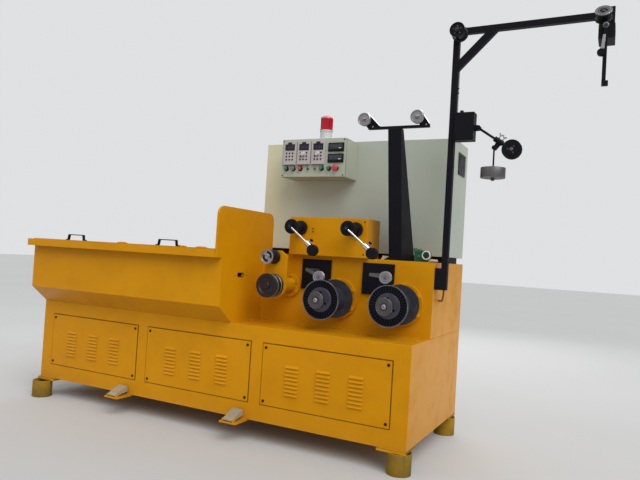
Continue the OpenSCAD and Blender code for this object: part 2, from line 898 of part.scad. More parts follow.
module panel_meters() {
    place() color("black")
        for (z = [79, 141])
            translate([-cbox_x - 9 - meter_w, cbox_y - 8, cbox_z + z])
                cube([meter_w, 8, meter_h]);
}

module push_buttons() {
    place() color("green")
        for (i = [0, 1, 2, 5, 6, 7])
            turned_along_y(-cbox_x - cbox_w + 37 + i * (cbox_w - 87) / 7, cbox_z + button_up, [
                [0, cbox_y - 16], [button_d / 2 - 5, cbox_y - 16], [button_d / 2 - 4, cbox_y - 15],
                [button_d / 2 - 4, cbox_y - 6], [button_d / 2, cbox_y - 4], [button_d / 2, cbox_y], [0, cbox_y]
            ]);
}

module beacon_base() {
    z0 = cbox_z + cbox_h;
    r = beacon_d / 2;
    place() color("white")
        translate([beacon_x, beacon_y, z0])
            rotate_extrude()
                polygon([
                    [0, 0], [r, 0], [r, 5], [r - 3, 8], [r - 3, beacon_base_h - 8],
                    [r, beacon_base_h - 6], [r, beacon_base_h], [0, beacon_base_h]
                ]);
}

module beacon_dome() {
    z0 = cbox_z + cbox_h + beacon_base_h;
    r = beacon_d / 2 - 1;
    place() color("red")
        translate([beacon_x, beacon_y, z0])
            rotate_extrude()
                polygon([
                    [0, 0], [r, 0], [r, 8], [r - 2, 10], [r - 3, beacon_dome_h - 13],
                    [r - 6, beacon_dome_h - 5], [r - 12, beacon_dome_h], [0, beacon_dome_h]
                ]);
}

module oil_valve() {
    place() color("green") {
        translate([-116, 318, rim_z])
            cube([70, 44, 46]);
        bar_along_y(-50, rim_z + 34, 304, 330, 21);
    }
}

module spool(x) {
    y0 = spool_front;
    y1 = spool_front + spool_l;
    bore = spindle_d / 2 + run_fit;
    r = spool_d / 2;
    disc_r = core_d / 2 - 1;
    ring_r = r - spool_rim;
    place() color("dimgray")
        difference() {
            union() {
                turned_along_y(x, spool_z, [
                    [bore, y0 - 2], [disc_r - 2, y0 - 2], [disc_r, y0], [disc_r, y0 + rib_depth],
                    [ring_r, y0 + rib_depth], [ring_r, y0 + 1], [ring_r + 1, y0], [r, y0], [r, y0 + flange_t],
                    [core_d / 2, y0 + flange_t], [core_d / 2, y1 - flange_t], [r, y1 - flange_t],
                    [r, y1], [bore, y1]
                ]);
                for (i = [0:rib_count - 1])
                    translate([x, y0 + 1, spool_z])
                        rotate([0, i * 360 / rib_count, 0])
                            translate([disc_r - 1, 0, -rib_t / 2])
                                cube([ring_r - disc_r + 2, rib_depth, rib_t]);
            }
            for (a = [90, 210, 330])
                bar_along_y(x + 36 * cos(a), spool_z + 36 * sin(a), y0 - 3, y0 + 15, 6.5);
        }
}

module spool_left() {
    spool(spool_xs[0]);
}

module spool_right() {
    spool(spool_xs[1]);
}

module spindle(x) {
    nut_y = spool_front - nut_l;
    y1 = spool_front + spool_l;
    place() color("silver")
        turned_along_y(x, spool_z, [
            [0, nut_y], [nut_d / 2 - 5, nut_y], [nut_d / 2, nut_y + 4], [nut_d / 2, nut_y + nut_rim],
            [nut_d / 2 - 5, nut_y + nut_rim + 3], [nut_neck_d / 2, nut_y + nut_rim + 6],
            [nut_neck_d / 2, spool_front - 2], [spindle_d / 2, spool_front - 2], [spindle_d / 2, y1],
            [40, y1], [40, head_y - housing_t - end_gap], [spindle_d / 2, head_y - housing_t - end_gap],
            [spindle_d / 2, head_y + 80], [0, head_y + 80]
        ]);
}

module spindle_left() {
    spindle(spool_xs[0]);
}

module spindle_right() {
    spindle(spool_xs[1]);
}

module capstan() {
    r = capstan_d / 2;
    y0 = capstan_y;
    y1 = capstan_y + capstan_l;
    place() color("dimgray")
        turned_along_y(-capstan_x, capstan_z, [
            [0, y0 - 6], [16, y0 - 6], [19, y0 - 3], [19, y0 + 4], [r - 20, y0 + 4], [r - 16, y0],
            [r - 1, y0], [r, y0 + 1], [r, y0 + 7], [r - 7, y0 + 11], [r - 7, y0 + 21], [r - 2, y0 + 24],
            [r - 2, y0 + 34], [r - 7, y0 + 37], [r - 7, y1 - 17], [r - 1, y1 - 13], [r - 1, y1], [24, y1],
            [24, bracket_y - end_gap], [15, bracket_y - end_gap], [15, head_y + 26], [0, head_y + 26]
        ]);
}

module guide_roller() {
    r = guide_d / 2;
    y0 = capstan_y;
    place() color("dimgray")
        difference() {
            turned_along_y(-guide_x, guide_z, [
                [pin_r + run_fit, y0 + 1], [13, y0 + 1], [14, y0 + 4], [r - 5, y0 + 4], [r - 4, y0],
                [r - 1, y0], [r, y0 + 1], [r, y0 + 8], [r - 4, y0 + 12], [r - 4, y0 + 62], [r, y0 + 66],
                [r, y0 + 74], [pin_r + run_fit, y0 + 74]
            ]);
            for (a = [20, 200])
                translate([-guide_x, y0 + 10, guide_z])
                    rotate([90, a, 0])
                        rotate_extrude(angle = 120)
                            translate([18, 0])
                                square([9, 12]);
        }
}

module tension_roller(x) {
    r = troller_d / 2;
    y0 = troller_y;
    y1 = troller_y + troller_l;
    place() color("black")
        turned_along_y(x, troller_z, [
            [pin_r + run_fit, y0], [r, y0], [r, y0 + 9], [24, y0 + 14], [24, y1 - 14],
            [r, y1 - 9], [r, y1], [pin_r + run_fit, y1]
        ]);
}

module tension_roller_left() {
    tension_roller(troller_xs[0]);
}

module tension_roller_right() {
    tension_roller(troller_xs[1]);
}

module tension_arm(x) {
    clamp_end = arm_l - arm_wheel_d / 2 - 4;
    clamp_mid = clamp_end - clamp_l / 2;
    place() color("silver")
        translate([x, arm_y, troller_z])
            rotate([0, arm_slope, 0]) {
                difference() {
                    union() {
                        rotate([90, 0, 0])
                            cylinder(h = 12, r = 13, center = true);
                        translate([11, 0, 0])
                            rotate([0, 90, 0])
                                cylinder(h = arm_l - 14, r = 5);
                        translate([clamp_end - clamp_l, 0, 0])
                            rotate([0, 90, 0])
                                cylinder(h = clamp_l, d = clamp_d);
                        translate([clamp_mid, 0, clamp_d / 2 - 4])
                            cylinder(h = 14, r = 3.5);
                        translate([clamp_mid, 0, clamp_d / 2 + 9])
                            cylinder(h = 8, r = 9);
                    }
                    rotate([90, 0, 0])
                        cylinder(h = 20, r = pin_r + run_fit, center = true);
                }
                translate([arm_l, 6, 0])
                    rotate([90, 0, 0])
                        cylinder(h = 12, r = 9);
                translate([arm_l, 0, 0])
                    rotate([90, 0, 0])
                        cylinder(h = 9 + arm_wheel_w, r = 5);
            }
}

module tension_arm_left() {
    tension_arm(troller_xs[0]);
}

module tension_arm_right() {
    tension_arm(troller_xs[1]);
}

module arm_wheel(x) {
    place() color("black")
        translate([x, arm_y, troller_z])
            rotate([0, arm_slope, 0])
                translate([arm_l, -7, 0])
                    rotate([90, 0, 0])
                        difference() {
                            cylinder(h = arm_wheel_w, d = arm_wheel_d);
                            translate([0, 0, -cut])
                                cylinder(h = arm_wheel_w + 2 * cut, r = 5 + run_fit);
                        }
}

module arm_wheel_left() {
    arm_wheel(troller_xs[0]);
}

module arm_wheel_right() {
    arm_wheel(troller_xs[1]);
}

module traverse(i) {
    place() color("silver")
        translate([traverse_xs[i], 0, traverse_z]) {
            bar_along_y(0, 0, traverse_y + 12, head_y + 60, shaft_r);
            rotate([0, traverse_slopes[i], 0]) {
                translate([0, traverse_y + 24, 0])
                    rotate([90, 0, 0])
                        linear_extrude(height = 12)
                            polygon([
                                [-13, -5], [-10, -8], [traverse_arm, -9], [traverse_arm + 7, -5],
                                [traverse_arm + 7, 5], [traverse_arm, 9], [-10, 8], [-13, 5]
                            ]);
                bar_along_y(traverse_arm, 0, traverse_y - 12, traverse_y + 13, 5);
            }
        }
}

module traverse_left() {
    traverse(0);
}

module traverse_right() {
    traverse(1);
}

// A grooved pulley with its bore, centred at (x, y, z), axis along Y
module sheave(x, y, z, d, w, bore) {
    r = d / 2;
    turned_along_y(x, z, [
        [bore, y - w / 2], [r, y - w / 2], [r, y - w / 2 + 2], [r - w / 4, y], [r, y + w / 2 - 2],
        [r, y + w / 2], [bore, y + w / 2]
    ]);
}

// A grooved pulley with a dished front face and a hub
module dished_sheave(x, y, z, d, w, bore) {
    r = d / 2;
    y0 = y - w / 2;
    y1 = y + w / 2;
    turned_along_y(x, z, [
        [bore, y0 - 2], [r / 3, y0 - 2], [r / 3 + 2, y0 + 4], [r - 8, y0 + 4], [r - 5, y0], [r - 1, y0],
        [r, y0 + 1], [r, y0 + 2], [r - w / 4, y], [r, y1 - 2], [r, y1], [bore, y1]
    ]);
}

module traverse_pulley(i) {
    place() color("silver")
        translate([traverse_xs[i], 0, traverse_z])
            rotate([0, traverse_slopes[i], 0])
                sheave(traverse_arm, traverse_y, 0, traverse_d, 18, 5 + run_fit);
}

module traverse_pulley_left() {
    traverse_pulley(0);
}

module traverse_pulley_right() {
    traverse_pulley(1);
}

module bar_pulley_left() {
    place() color("silver")
        dished_sheave(bar_pulley_xs[0], bar_pulley_y, bar_pulley_z, bar_pulley_d, bar_pulley_w, bar_pin_r + run_fit);
}

module bar_pulley_right() {
    place() color("silver")
        dished_sheave(bar_pulley_xs[1], bar_pulley_y, bar_pulley_z, bar_pulley_d, bar_pulley_w, bar_pin_r + run_fit);
}

module mast_wheel() {
    r = mast_wheel_d / 2;
    y1 = mast_wheel_back;
    y0 = y1 - mast_wheel_l;
    place() color("black")
        turned_along_y(mast_wheel_x, mast_wheel_z, [
            [pin_r + run_fit, y0 + 1], [14, y0 + 1], [16, y0 + 4], [r - 6, y0 + 4], [r - 5, y0], [r - 1, y0],
            [r, y0 + 1], [r, y0 + 7], [r - 4, y0 + 11], [r - 4, y1 - 12], [r + 3, y1 - 9], [r + 3, y1],
            [pin_r + run_fit, y1]
        ]);
}

module head_pulley() {
    r = head_wheel_d / 2;
    l = head_wheel_l;
    place() color("silver")
        head_roller_frame()
            rotate_extrude()
                polygon([
                    [head_pin_r + run_fit, 0], [r, 0], [r, 6], [r - 4, 9], [r - 4, l - 12], [r, l - 9],
                    [r, l - 2], [r - 2, l], [17, l], [14, l - 5], [head_pin_r + run_fit, l - 5]
                ]);
}

module head_arm() {
    foot_z = head_arm_z - head_arm_l;
    y = head_arm_y;
    place() color("black")
        difference() {
            union() {
                translate([head_arm_x - head_arm_w / 2, y, foot_z])
                    cube([head_arm_w, 8, head_arm_l]);
                bar_along_y(head_arm_x, head_arm_z, y, y + 8, 12);
                translate([head_arm_x - head_arm_w / 2, y - 8, foot_z])
                    cube([26, 16, 22]);
                translate([head_arm_x, y, head_arm_z])
                    rotate([90, 0, 0])
                        linear_extrude(height = 6)
                            polygon([[-11, -40], [3, -40], [0, -104], [-7, -138], [-21, -136], [-19, -104]]);
                bar_along_y(head_arm_x - 15, head_arm_z - 122, y - 18, y - 2, 15.5);
            }
            bar_along_y(head_arm_x, head_arm_z, y - 8, y + 16, 5 + run_fit);
        }
}

module dancer_arm() {
    place() color("black")
        translate([dancer_x, dancer_y, dancer_z])
            rotate([0, dancer_slope, 0]) {
                difference() {
                    union() {
                        rotate([90, 0, 0])
                            cylinder(h = ear_gap - 4, r = ear_r, center = true);
                        rotate([0, 90, 0])
                            cylinder(h = dancer_l, r = 6);
                    }
                    rotate([90, 0, 0])
                        cylinder(h = 24, r = 5 + run_fit, center = true);
                }
                translate([dancer_l, 0, 0])
                    rotate([90, 0, 0])
                        cylinder(h = dancer_front + 14, r = 5);
                translate([hanger_at - 30, 0, 0])
                    rotate([0, 90, 0])
                        cylinder(h = 46, r = 13);
                translate([hanger_at, 6, 0])
                    rotate([90, 0, 0])
                        linear_extrude(height = 12)
                            polygon([
                                [-14, -8], [12, -8], [9, -hanger_drop - 4], [5, -hanger_drop - 9],
                                [-5, -hanger_drop - 9], [-9, -hanger_drop - 4]
                            ]);
                translate([hanger_at, 5, -hanger_drop])
                    rotate([90, 0, 0])
                        cylinder(h = dancer_front + 12, r = 4);
            }
}

module dancer_pulley() {
    place() color("black")
        translate([dancer_x, 0, dancer_z])
            rotate([0, dancer_slope, 0])
                sheave(dancer_l, dancer_y - dancer_front, 0, dancer_pulley_d, 24, 5 + run_fit);
}

module weight_hanger() {
    hx = dancer_x + hanger_at * cos(dancer_slope) - hanger_drop * sin(dancer_slope);
    hz = dancer_z - hanger_at * sin(dancer_slope) - hanger_drop * cos(dancer_slope);
    hy = dancer_y - dancer_front;
    place() color("silver") {
        difference() {
            union() {
                bar_along_y(hx, hz, hy - 5, hy + 5, 11);
                translate([hx, hy, hz - hanger_l - weight_h - 14])
                    cylinder(h = hanger_l + weight_h + 6, r = 4);
            }
            bar_along_y(hx, hz, hy - 8, hy + 8, 4 + run_fit);
        }
        translate([hx, hy, hz - hanger_l - weight_h])
            cylinder(h = weight_h, d = weight_d);
        translate([hx, hy, hz - hanger_l - weight_h - 12])
            cylinder(h = 12, r = 9, $fn = 6);
    }
}

module pedal(x) {
    x0 = x - pedal_w / 2;
    x1 = x + pedal_w / 2;
    back = pedal_y + pedal_l - 6;
    place() color("gray")
        difference() {
            union() {
                bar_along_x(x0, x1, pedal_y, foot_h + pedal_pin_up, 6);
                drawn_along_x(x0, x1, [
                    [pedal_y, foot_h + pedal_pin_up - 5.5], [pedal_y - 4, foot_h + pedal_pin_up + 4],
                    [pedal_y + 3, foot_h + pedal_pin_up + 11], [back - 9, foot_h + pedal_h],
                    [back - 2, foot_h + pedal_h - 2], [back, foot_h + pedal_h - 8], [back, foot_h + 18]
                ]);
            }
            bar_along_x(x0 - cut, x1 + cut, pedal_y, foot_h + pedal_pin_up, 3 + run_fit);
        }
}

module pedal_left() {
    pedal(pedal_xs[0]);
}

module pedal_right() {
    pedal(pedal_xs[1]);
}

base_cabinet();
front_panels();
feet_and_shelves();
tank_trough();
tank_left_end();
tank_end_plate();
tank_lid_left();
tank_lid_right();
headstock();
capstan_bracket();
spindle_housings();
traverse_plates();
tension_box();
column();
cross_bar();
mast();
jib();
jib_head();
dancer_box();
mast_leads();
fixed_pins();
electrical_cabinet();
cabinet_plinth();
side_vent();
control_box();
keypads();
panel_meters();
push_buttons();
beacon_base();
beacon_dome();
oil_valve();
spool_left();
spool_right();
spindle_left();
spindle_right();
capstan();
guide_roller();
tension_roller_left();
tension_roller_right();
tension_arm_left();
tension_arm_right();
arm_wheel_left();
arm_wheel_right();
traverse_left();
traverse_right();
traverse_pulley_left();
traverse_pulley_right();
bar_pulley_left();
bar_pulley_right();
mast_wheel();
head_pulley();
head_arm();
dancer_arm();
dancer_pulley();
weight_hanger();
pedal_left();
pedal_right();
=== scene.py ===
"""Looks, camera and light for the wire drawing machine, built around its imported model."""

import logging
import math
import random
from dataclasses import dataclass
from enum import Enum
from typing import Callable, ClassVar, Iterable, Iterator, Optional, Sequence

import bmesh
import bpy
from mathutils import Matrix, Vector


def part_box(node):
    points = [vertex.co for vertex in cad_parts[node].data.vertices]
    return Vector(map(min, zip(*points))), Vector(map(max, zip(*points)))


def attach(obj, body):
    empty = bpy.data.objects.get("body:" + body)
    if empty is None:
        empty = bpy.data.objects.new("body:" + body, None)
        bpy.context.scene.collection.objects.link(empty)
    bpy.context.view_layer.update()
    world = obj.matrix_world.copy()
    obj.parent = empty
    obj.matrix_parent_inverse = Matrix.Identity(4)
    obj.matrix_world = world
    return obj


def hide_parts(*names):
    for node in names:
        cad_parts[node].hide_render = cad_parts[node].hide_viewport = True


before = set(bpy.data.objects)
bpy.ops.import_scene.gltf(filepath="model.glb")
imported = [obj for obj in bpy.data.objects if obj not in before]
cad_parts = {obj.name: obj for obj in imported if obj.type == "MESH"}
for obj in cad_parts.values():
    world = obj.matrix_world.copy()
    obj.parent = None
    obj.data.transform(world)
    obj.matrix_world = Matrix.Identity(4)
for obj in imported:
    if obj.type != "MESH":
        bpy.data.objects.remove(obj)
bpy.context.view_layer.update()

LOG = logging.getLogger("wire_drawing_machine")
Rgb = tuple[float, float, float]
Point = tuple[float, float, float]
Outline = Sequence[tuple[float, float]]
Socket = bpy.types.NodeSocket
Node = bpy.types.Node
Piece = bpy.types.Object
Ring = list[bmesh.types.BMVert]

# The part's own measuring frame, in millimetres: X = 0 at the base's right end, Y = 0 at its front
PART_ORIGIN = Vector((0.8225, -0.355, 0.0))

# Places in that frame that several assemblies share
DECK_Z = 586.0
RIM_Z = 965.0
SIDES = ("left", "right")
SPOOL_XS = (-505.0, -149.0)
SPOOL_Z = 747.0
CAPSTAN = (-802.0, 796.0)


def at(x: float, y: float, z: float) -> Vector:
    """Turns a place in the part's own millimetres into metres in the frame."""
    return PART_ORIGIN + Vector((x, y, z)) * 0.001


def span(node: str) -> tuple[Vector, Vector]:
    """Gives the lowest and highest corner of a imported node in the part's own millimetres."""
    low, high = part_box(node)
    return (low - PART_ORIGIN) * 1000.0, (high - PART_ORIGIN) * 1000.0


def around(center: Point, radius: float, count: int, first: float) -> Iterator[Point]:
    """Walks round a circle that faces the front, in equal steps.

    Args:
        center: Middle of the circle.
        radius: Its radius.
        count: Number of places on it.
        first: Angle of the first place, in degrees.

    Yields:
        The places, in the part's own millimetres.
    """
    x, y, z = center
    for k in range(count):
        a = math.radians(first + 360 / count * k)
        yield (x + radius * math.cos(a), y, z + radius * math.sin(a))


def circle(
    mid: Vector, u: Vector, v: Vector, radius: float, count: int, turn: float = 0.0
) -> Iterator[Vector]:
    """Walks round a circle given in metres, square to u and v, from an angle in radians."""
    for k in range(count):
        a = math.tau * k / count + turn
        yield mid + (u * math.cos(a) + v * math.sin(a)) * radius


def oblong(wide: float, high: float, left: float = 0.0, low: float = 0.0) -> Outline:
    """Gives the outline of a rectangle from its lower left corner."""
    return ((left, low), (left + wide, low), (left + wide, low + high), (left, low + high))


def reach(place: Vector, x: float, z: float) -> float:
    """Gives how far a place lies from an axis that points to the front."""
    return math.hypot(place.x - x, place.z - z)


class Axis(Enum):
    """Directions that turned and pressed parts point in."""

    FRONT = (0.0, -1.0, 0.0)
    BACK = (0.0, 1.0, 0.0)
    RIGHT = (1.0, 0.0, 0.0)
    UP = (0.0, 0.0, 1.0)


FRONT, BACK, RIGHT, UP = (Vector(axis.value) for axis in Axis)


class Body(Enum):
    """Bodies of the machine that added pieces ride on."""

    FRAME = "frame"
    TAKE_UP_LEFT = "take_up_left"
    TAKE_UP_RIGHT = "take_up_right"
    CAPSTAN = "capstan"
    GUIDE_ROLLER = "guide_roller"
    TRAVERSE_PULLEY_LEFT = "traverse_pulley_left"
    TRAVERSE_PULLEY_RIGHT = "traverse_pulley_right"
    ARM_WHEEL_LEFT = "arm_wheel_left"
    ARM_WHEEL_RIGHT = "arm_wheel_right"
    MAST_WHEEL = "mast_wheel"
    HEAD_PULLEY = "head_pulley"
    HEAD_ARM = "head_arm"
    DANCER_ARM = "dancer_arm"
    DANCER_PULLEY = "dancer_pulley"
    PEDAL_LEFT = "pedal_left"
    PEDAL_RIGHT = "pedal_right"


class Desk:
    """Places and joins the nodes of one tree."""

    def __init__(self, tree: bpy.types.NodeTree) -> None:
        """Takes the tree to work on."""
        self.tree = tree

    def add(self, kind: str, **settings: object) -> Node:
        """Adds a node of a kind and sets its properties."""
        node = self.tree.nodes.new(kind)
        for key, value in settings.items():
            setattr(node, key, value)
        return node

    def feed(self, node: Node, values: dict[int | str, object]) -> None:
        """Links outputs to a node's sockets, or writes plain values on them.

        Args:
            node: Node that is fed.
            values: What goes into each socket, by its name or number.
        """
        for key, value in values.items():
            socket = node.inputs[key]
            if isinstance(value, Socket):
                self.tree.links.new(value, socket)
            elif isinstance(value, tuple) and socket.type == "RGBA":
                socket.default_value = (*value, 1.0)
            else:
                socket.default_value = value

    def put(
        self, kind: str, values: dict[int | str, object], outlet: int | str = 0, **settings: object
    ) -> Socket:
        """Adds a node, feeds it and returns one of its outputs.

        Args:
            kind: Node type identifier.
            values: What goes into each socket, by its name or number.
            outlet: Name or number of the output.
            **settings: Properties of the node.

        Returns:
            The output.
        """
        node = self.add(kind, **settings)
        self.feed(node, values)
        return node.outputs[outlet]

    def math(self, operation: str, first: object, second: object, clamp: bool = False) -> Socket:
        """Adds a math node and returns its output."""
        return self.put("ShaderNodeMath", {0: first, 1: second}, operation=operation, use_clamp=clamp)

    def times(self, first: object, second: object, clamp: bool = False) -> Socket:
        """Multiplies two values."""
        return self.math("MULTIPLY", first, second, clamp)

    def plus(self, first: object, second: object, clamp: bool = False) -> Socket:
        """Adds two values."""
        return self.math("ADD", first, second, clamp)

    def mix(self, factor: object, first: object, second: object) -> Socket:
        """Mixes two colours."""
        values = {0: factor, 6: first, 7: second}
        return self.put("ShaderNodeMix", values, 2, data_type="RGBA", clamp_factor=True)

    def noise(self, vector: Socket, scale: float, detail: float = 3.0, rough: float = 0.5) -> Socket:
        """Adds a noise texture and returns its value."""
        values = {"Vector": vector, "Scale": scale, "Detail": detail, "Roughness": rough}
        return self.put("ShaderNodeTexNoise", values, "Fac")

    def ramp(
        self, value: Socket, low: object, high: object, to_low: float = 0.0, to_high: float = 1.0
    ) -> Socket:
        """Maps one range of values onto another, smoothly."""
        values = dict(enumerate((value, low, high, to_low, to_high)))
        return self.put("ShaderNodeMapRange", values, interpolation_type="SMOOTHSTEP", clamp=True)

    def cloud(
        self, vector: Socket, scale: float, detail: float, rough: float, low: float, high: float
    ) -> Socket:
        """Adds a noise texture and spreads a part of its range."""
        return self.ramp(self.noise(vector, scale, detail, rough), low, high)

    def place(self) -> Socket:
        """Returns the object coordinates, which are metres in the frame."""
        return self.add("ShaderNodeTexCoord").outputs["Object"]

    def split(self, vector: Socket) -> tuple[Socket, ...]:
        """Splits a vector into its three numbers."""
        node = self.add("ShaderNodeSeparateXYZ")
        self.feed(node, {0: vector})
        return tuple(node.outputs)

    def stretch(self, vector: Socket, scale: Point) -> Socket:
        """Scales a vector by a different amount on each axis."""
        return self.put("ShaderNodeVectorMath", {0: vector, 1: scale}, operation="MULTIPLY")

    def openness(self, distance: float, only_local: bool) -> Socket:
        """Measures how open a place is, which is least in corners and hollows."""
        values = {"Distance": distance}
        return self.put("ShaderNodeAmbientOcclusion", values, "AO", samples=4, only_local=only_local)


class EffectShelf:
    """Shader node groups for the effects that several finishes share."""

    def __init__(self) -> None:
        """Starts with no group built."""
        self._groups: dict[str, bpy.types.NodeTree] = {}

    def get(self, name: str) -> bpy.types.NodeTree:
        """Builds a group on its first use and returns it.

        Args:
            name: One of paint_skin, metal_skin and plastic_skin.

        Returns:
            The node group.
        """
        if name not in self._groups:
            self._groups[name] = getattr(self, f"_{name}")()
        return self._groups[name]

    @staticmethod
    def _open(name: str, inputs: dict[str, object]) -> tuple[Desk, dict[str, Socket], Node]:
        """Makes an empty group with its sockets.

        Args:
            name: Name of the group.
            inputs: Start value of each input. A colour is a tuple.

        Returns:
            A desk for the group, the group's inputs by name, and its output node.
        """
        group = bpy.data.node_groups.new(name, "ShaderNodeTree")
        for label, value in inputs.items():
            kind = "NodeSocketColor" if isinstance(value, tuple) else "NodeSocketFloat"
            socket = group.interface.new_socket(name=label, in_out="INPUT", socket_type=kind)
            socket.default_value = (*value, 1.0) if isinstance(value, tuple) else value
        for label, kind in (("Color", "Color"), ("Roughness", "Float"), ("Height", "Float")):
            group.interface.new_socket(name=label, in_out="OUTPUT", socket_type=f"NodeSocket{kind}")
        desk = Desk(group)
        entry = desk.add("NodeGroupInput")
        return desk, {s.name: s for s in entry.outputs}, desk.add("NodeGroupOutput")

    @staticmethod
    def _sheen(
        desk: Desk, given: dict[str, Socket], cloud: Socket, middle: float, clamp: bool = False
    ) -> Socket:
        """Spreads the roughness about its mean with a cloud."""
        swing = desk.times(desk.math("SUBTRACT", cloud, middle), given["Spread"])
        return desk.plus(given["Roughness"], swing, clamp)

    def _paint_skin(self) -> bpy.types.NodeTree:
        """Sprayed enamel: broad tone changes, thin spots, settled dust, splash dirt and a fine peel."""
        desk, given, leave = self._open("paint_skin", {
            "Color": (0.6, 0.3, 0.02), "Shade": (0.4, 0.2, 0.02), "Dust": (0.4, 0.36, 0.3),
            "Mottle": 0.4, "Dust Amount": 0.3, "Roughness": 0.35, "Spread": 0.15, "Splash Height": 0.2,
        })
        where = desk.place()
        broad = desk.cloud(where, 1.6, 4.0, 0.55, 0.32, 0.72)
        patch = desk.cloud(where, 9.0, 5.0, 0.6, 0.42, 0.75)
        speck = desk.cloud(where, 85.0, 3.0, 0.6, 0.62, 0.78)
        tone = desk.times(desk.plus(desk.times(broad, 0.55), desk.times(patch, 0.45)), given["Mottle"])
        painted = desk.mix(tone, given["Color"], given["Shade"])
        facing = desk.split(desk.add("ShaderNodeNewGeometry").outputs["Normal"])[2]
        settled = desk.times(desk.ramp(facing, 0.5, 0.98), desk.cloud(where, 22.0, 6.0, 0.65, 0.35, 0.7))
        splash_top = desk.plus(given["Splash Height"], desk.times(desk.noise(where, 14.0, 4.0), 0.12))
        wet = desk.ramp(desk.split(where)[2], splash_top, 0.09)
        splash = desk.times(wet, desk.plus(desk.times(speck, 0.5), 0.5))
        nook = desk.times(desk.ramp(desk.openness(0.03, False), 0.75, 0.25), desk.ramp(patch, -0.4, 0.9))
        dirt = desk.plus(desk.times(settled, 0.55), desk.times(splash, 0.8))
        dirt = desk.times(desk.plus(dirt, desk.times(nook, 0.9)), given["Dust Amount"], clamp=True)
        sheen = self._sheen(desk, given, patch, 0.5)
        peel = desk.times(desk.noise(where, 420.0, 2.0), 0.25)
        waves = desk.times(desk.noise(where, 30.0, 2.0), 0.75)
        desk.feed(leave, {
            "Color": desk.mix(dirt, painted, given["Dust"]),
            "Roughness": desk.plus(sheen, desk.times(dirt, 0.35), clamp=True),
            "Height": desk.plus(peel, waves),
        })
        return desk.tree

    def _metal_skin(self) -> bpy.types.NodeTree:
        """Machined metal: fine tool lines, finger smudges and dark oil in the hollows."""
        desk, given, leave = self._open("metal_skin", {
            "Color": (0.6, 0.6, 0.6), "Oil": (0.1, 0.08, 0.06), "Oil Amount": 0.3,
            "Roughness": 0.3, "Spread": 0.2,
        })
        where = desk.place()
        lines = desk.noise(desk.stretch(where, (0.12, 1.0, 0.12)), 900.0, 2.0)
        cloud = desk.cloud(where, 38.0, 5.0, 0.6, 0.35, 0.7)
        hollow = desk.ramp(desk.openness(0.012, True), 0.85, 0.3)
        oily = desk.times(desk.plus(hollow, desk.times(cloud, 0.4)), given["Oil Amount"], clamp=True)
        sheen = self._sheen(desk, given, cloud, 0.4)
        desk.feed(leave, {
            "Color": desk.mix(oily, given["Color"], given["Oil"]),
            "Roughness": desk.plus(sheen, desk.times(lines, 0.06), clamp=True),
            "Height": lines,
        })
        return desk.tree

    def _plastic_skin(self) -> bpy.types.NodeTree:
        """Moulded plastic or rubber: a fine grain, scuffs and pale dust."""
        desk, given, leave = self._open("plastic_skin", {
            "Color": (0.05, 0.05, 0.05), "Scuff": (0.2, 0.2, 0.2), "Scuff Amount": 0.3,
            "Roughness": 0.45, "Spread": 0.2,
        })
        where = desk.place()
        cloud = desk.cloud(where, 26.0, 5.0, 0.65, 0.4, 0.72)
        scratch = desk.cloud(desk.stretch(where, (1.0, 0.2, 1.0)), 210.0, 2.0, 0.7, 0.6, 0.72)
        marks = desk.plus(desk.times(cloud, 0.6), desk.times(scratch, 0.5))
        scuffed = desk.times(marks, given["Scuff Amount"], clamp=True)
        desk.feed(leave, {
            "Color": desk.mix(scuffed, given["Color"], given["Scuff"]),
            "Roughness": self._sheen(desk, given, cloud, 0.4, clamp=True),
            "Height": desk.noise(where, 750.0, 2.0),
        })
        return desk.tree


EFFECTS = EffectShelf()
MADE: dict[str, bpy.types.Material] = {}


@dataclass(frozen=True)
class Finish:
    """A surface finish. Its class says which shared effect makes it."""

    name: str
    color: Rgb
    roughness: float = 0.4
    spread: float = 0.15
    bump: float = 0.1
    bump_depth: float = 0.0004
    metallic: float = 0.0
    coat: float = 0.0
    specular: float = 0.5
    tint: Rgb = (1.0, 1.0, 1.0)
    effect: ClassVar[str] = "plastic_skin"

    def inputs(self) -> dict[str, object]:
        """Values for the effect's own sockets."""
        return {"Scuff": tuple(min(1.0, c * 1.6 + 0.03) for c in self.color), "Scuff Amount": 0.3}

    def build(self) -> bpy.types.Material:
        """Makes the material once and returns it on each later call."""
        if self.name in MADE:
            return MADE[self.name]
        material = bpy.data.materials.new(f"{self.name}_finish")
        MADE[self.name] = material
        material.use_nodes = True
        material.diffuse_color = (*self.color, 1.0)
        desk = Desk(material.node_tree)
        shader = material.node_tree.nodes["Principled BSDF"]
        skin = desk.add("ShaderNodeGroup", node_tree=EFFECTS.get(self.effect))
        basics = {"Color": self.color, "Roughness": self.roughness, "Spread": self.spread}
        desk.feed(skin, {**basics, **self.inputs()})
        relief = {"Strength": self.bump, "Distance": self.bump_depth, "Height": skin.outputs["Height"]}
        desk.feed(shader, {
            "Base Color": skin.outputs["Color"],
            "Roughness": skin.outputs["Roughness"],
            "Normal": desk.put("ShaderNodeBump", relief, "Normal"),
            "Metallic": self.metallic,
            "Coat Weight": self.coat,
            "Coat Roughness": 0.1,
            "Specular IOR Level": self.specular,
            "Specular Tint": self.tint,
        })
        self.extras(desk, shader, skin)
        return material

    def extras(self, desk: Desk, shader: Node, skin: Node) -> None:
        """Adds what only one kind of finish has."""


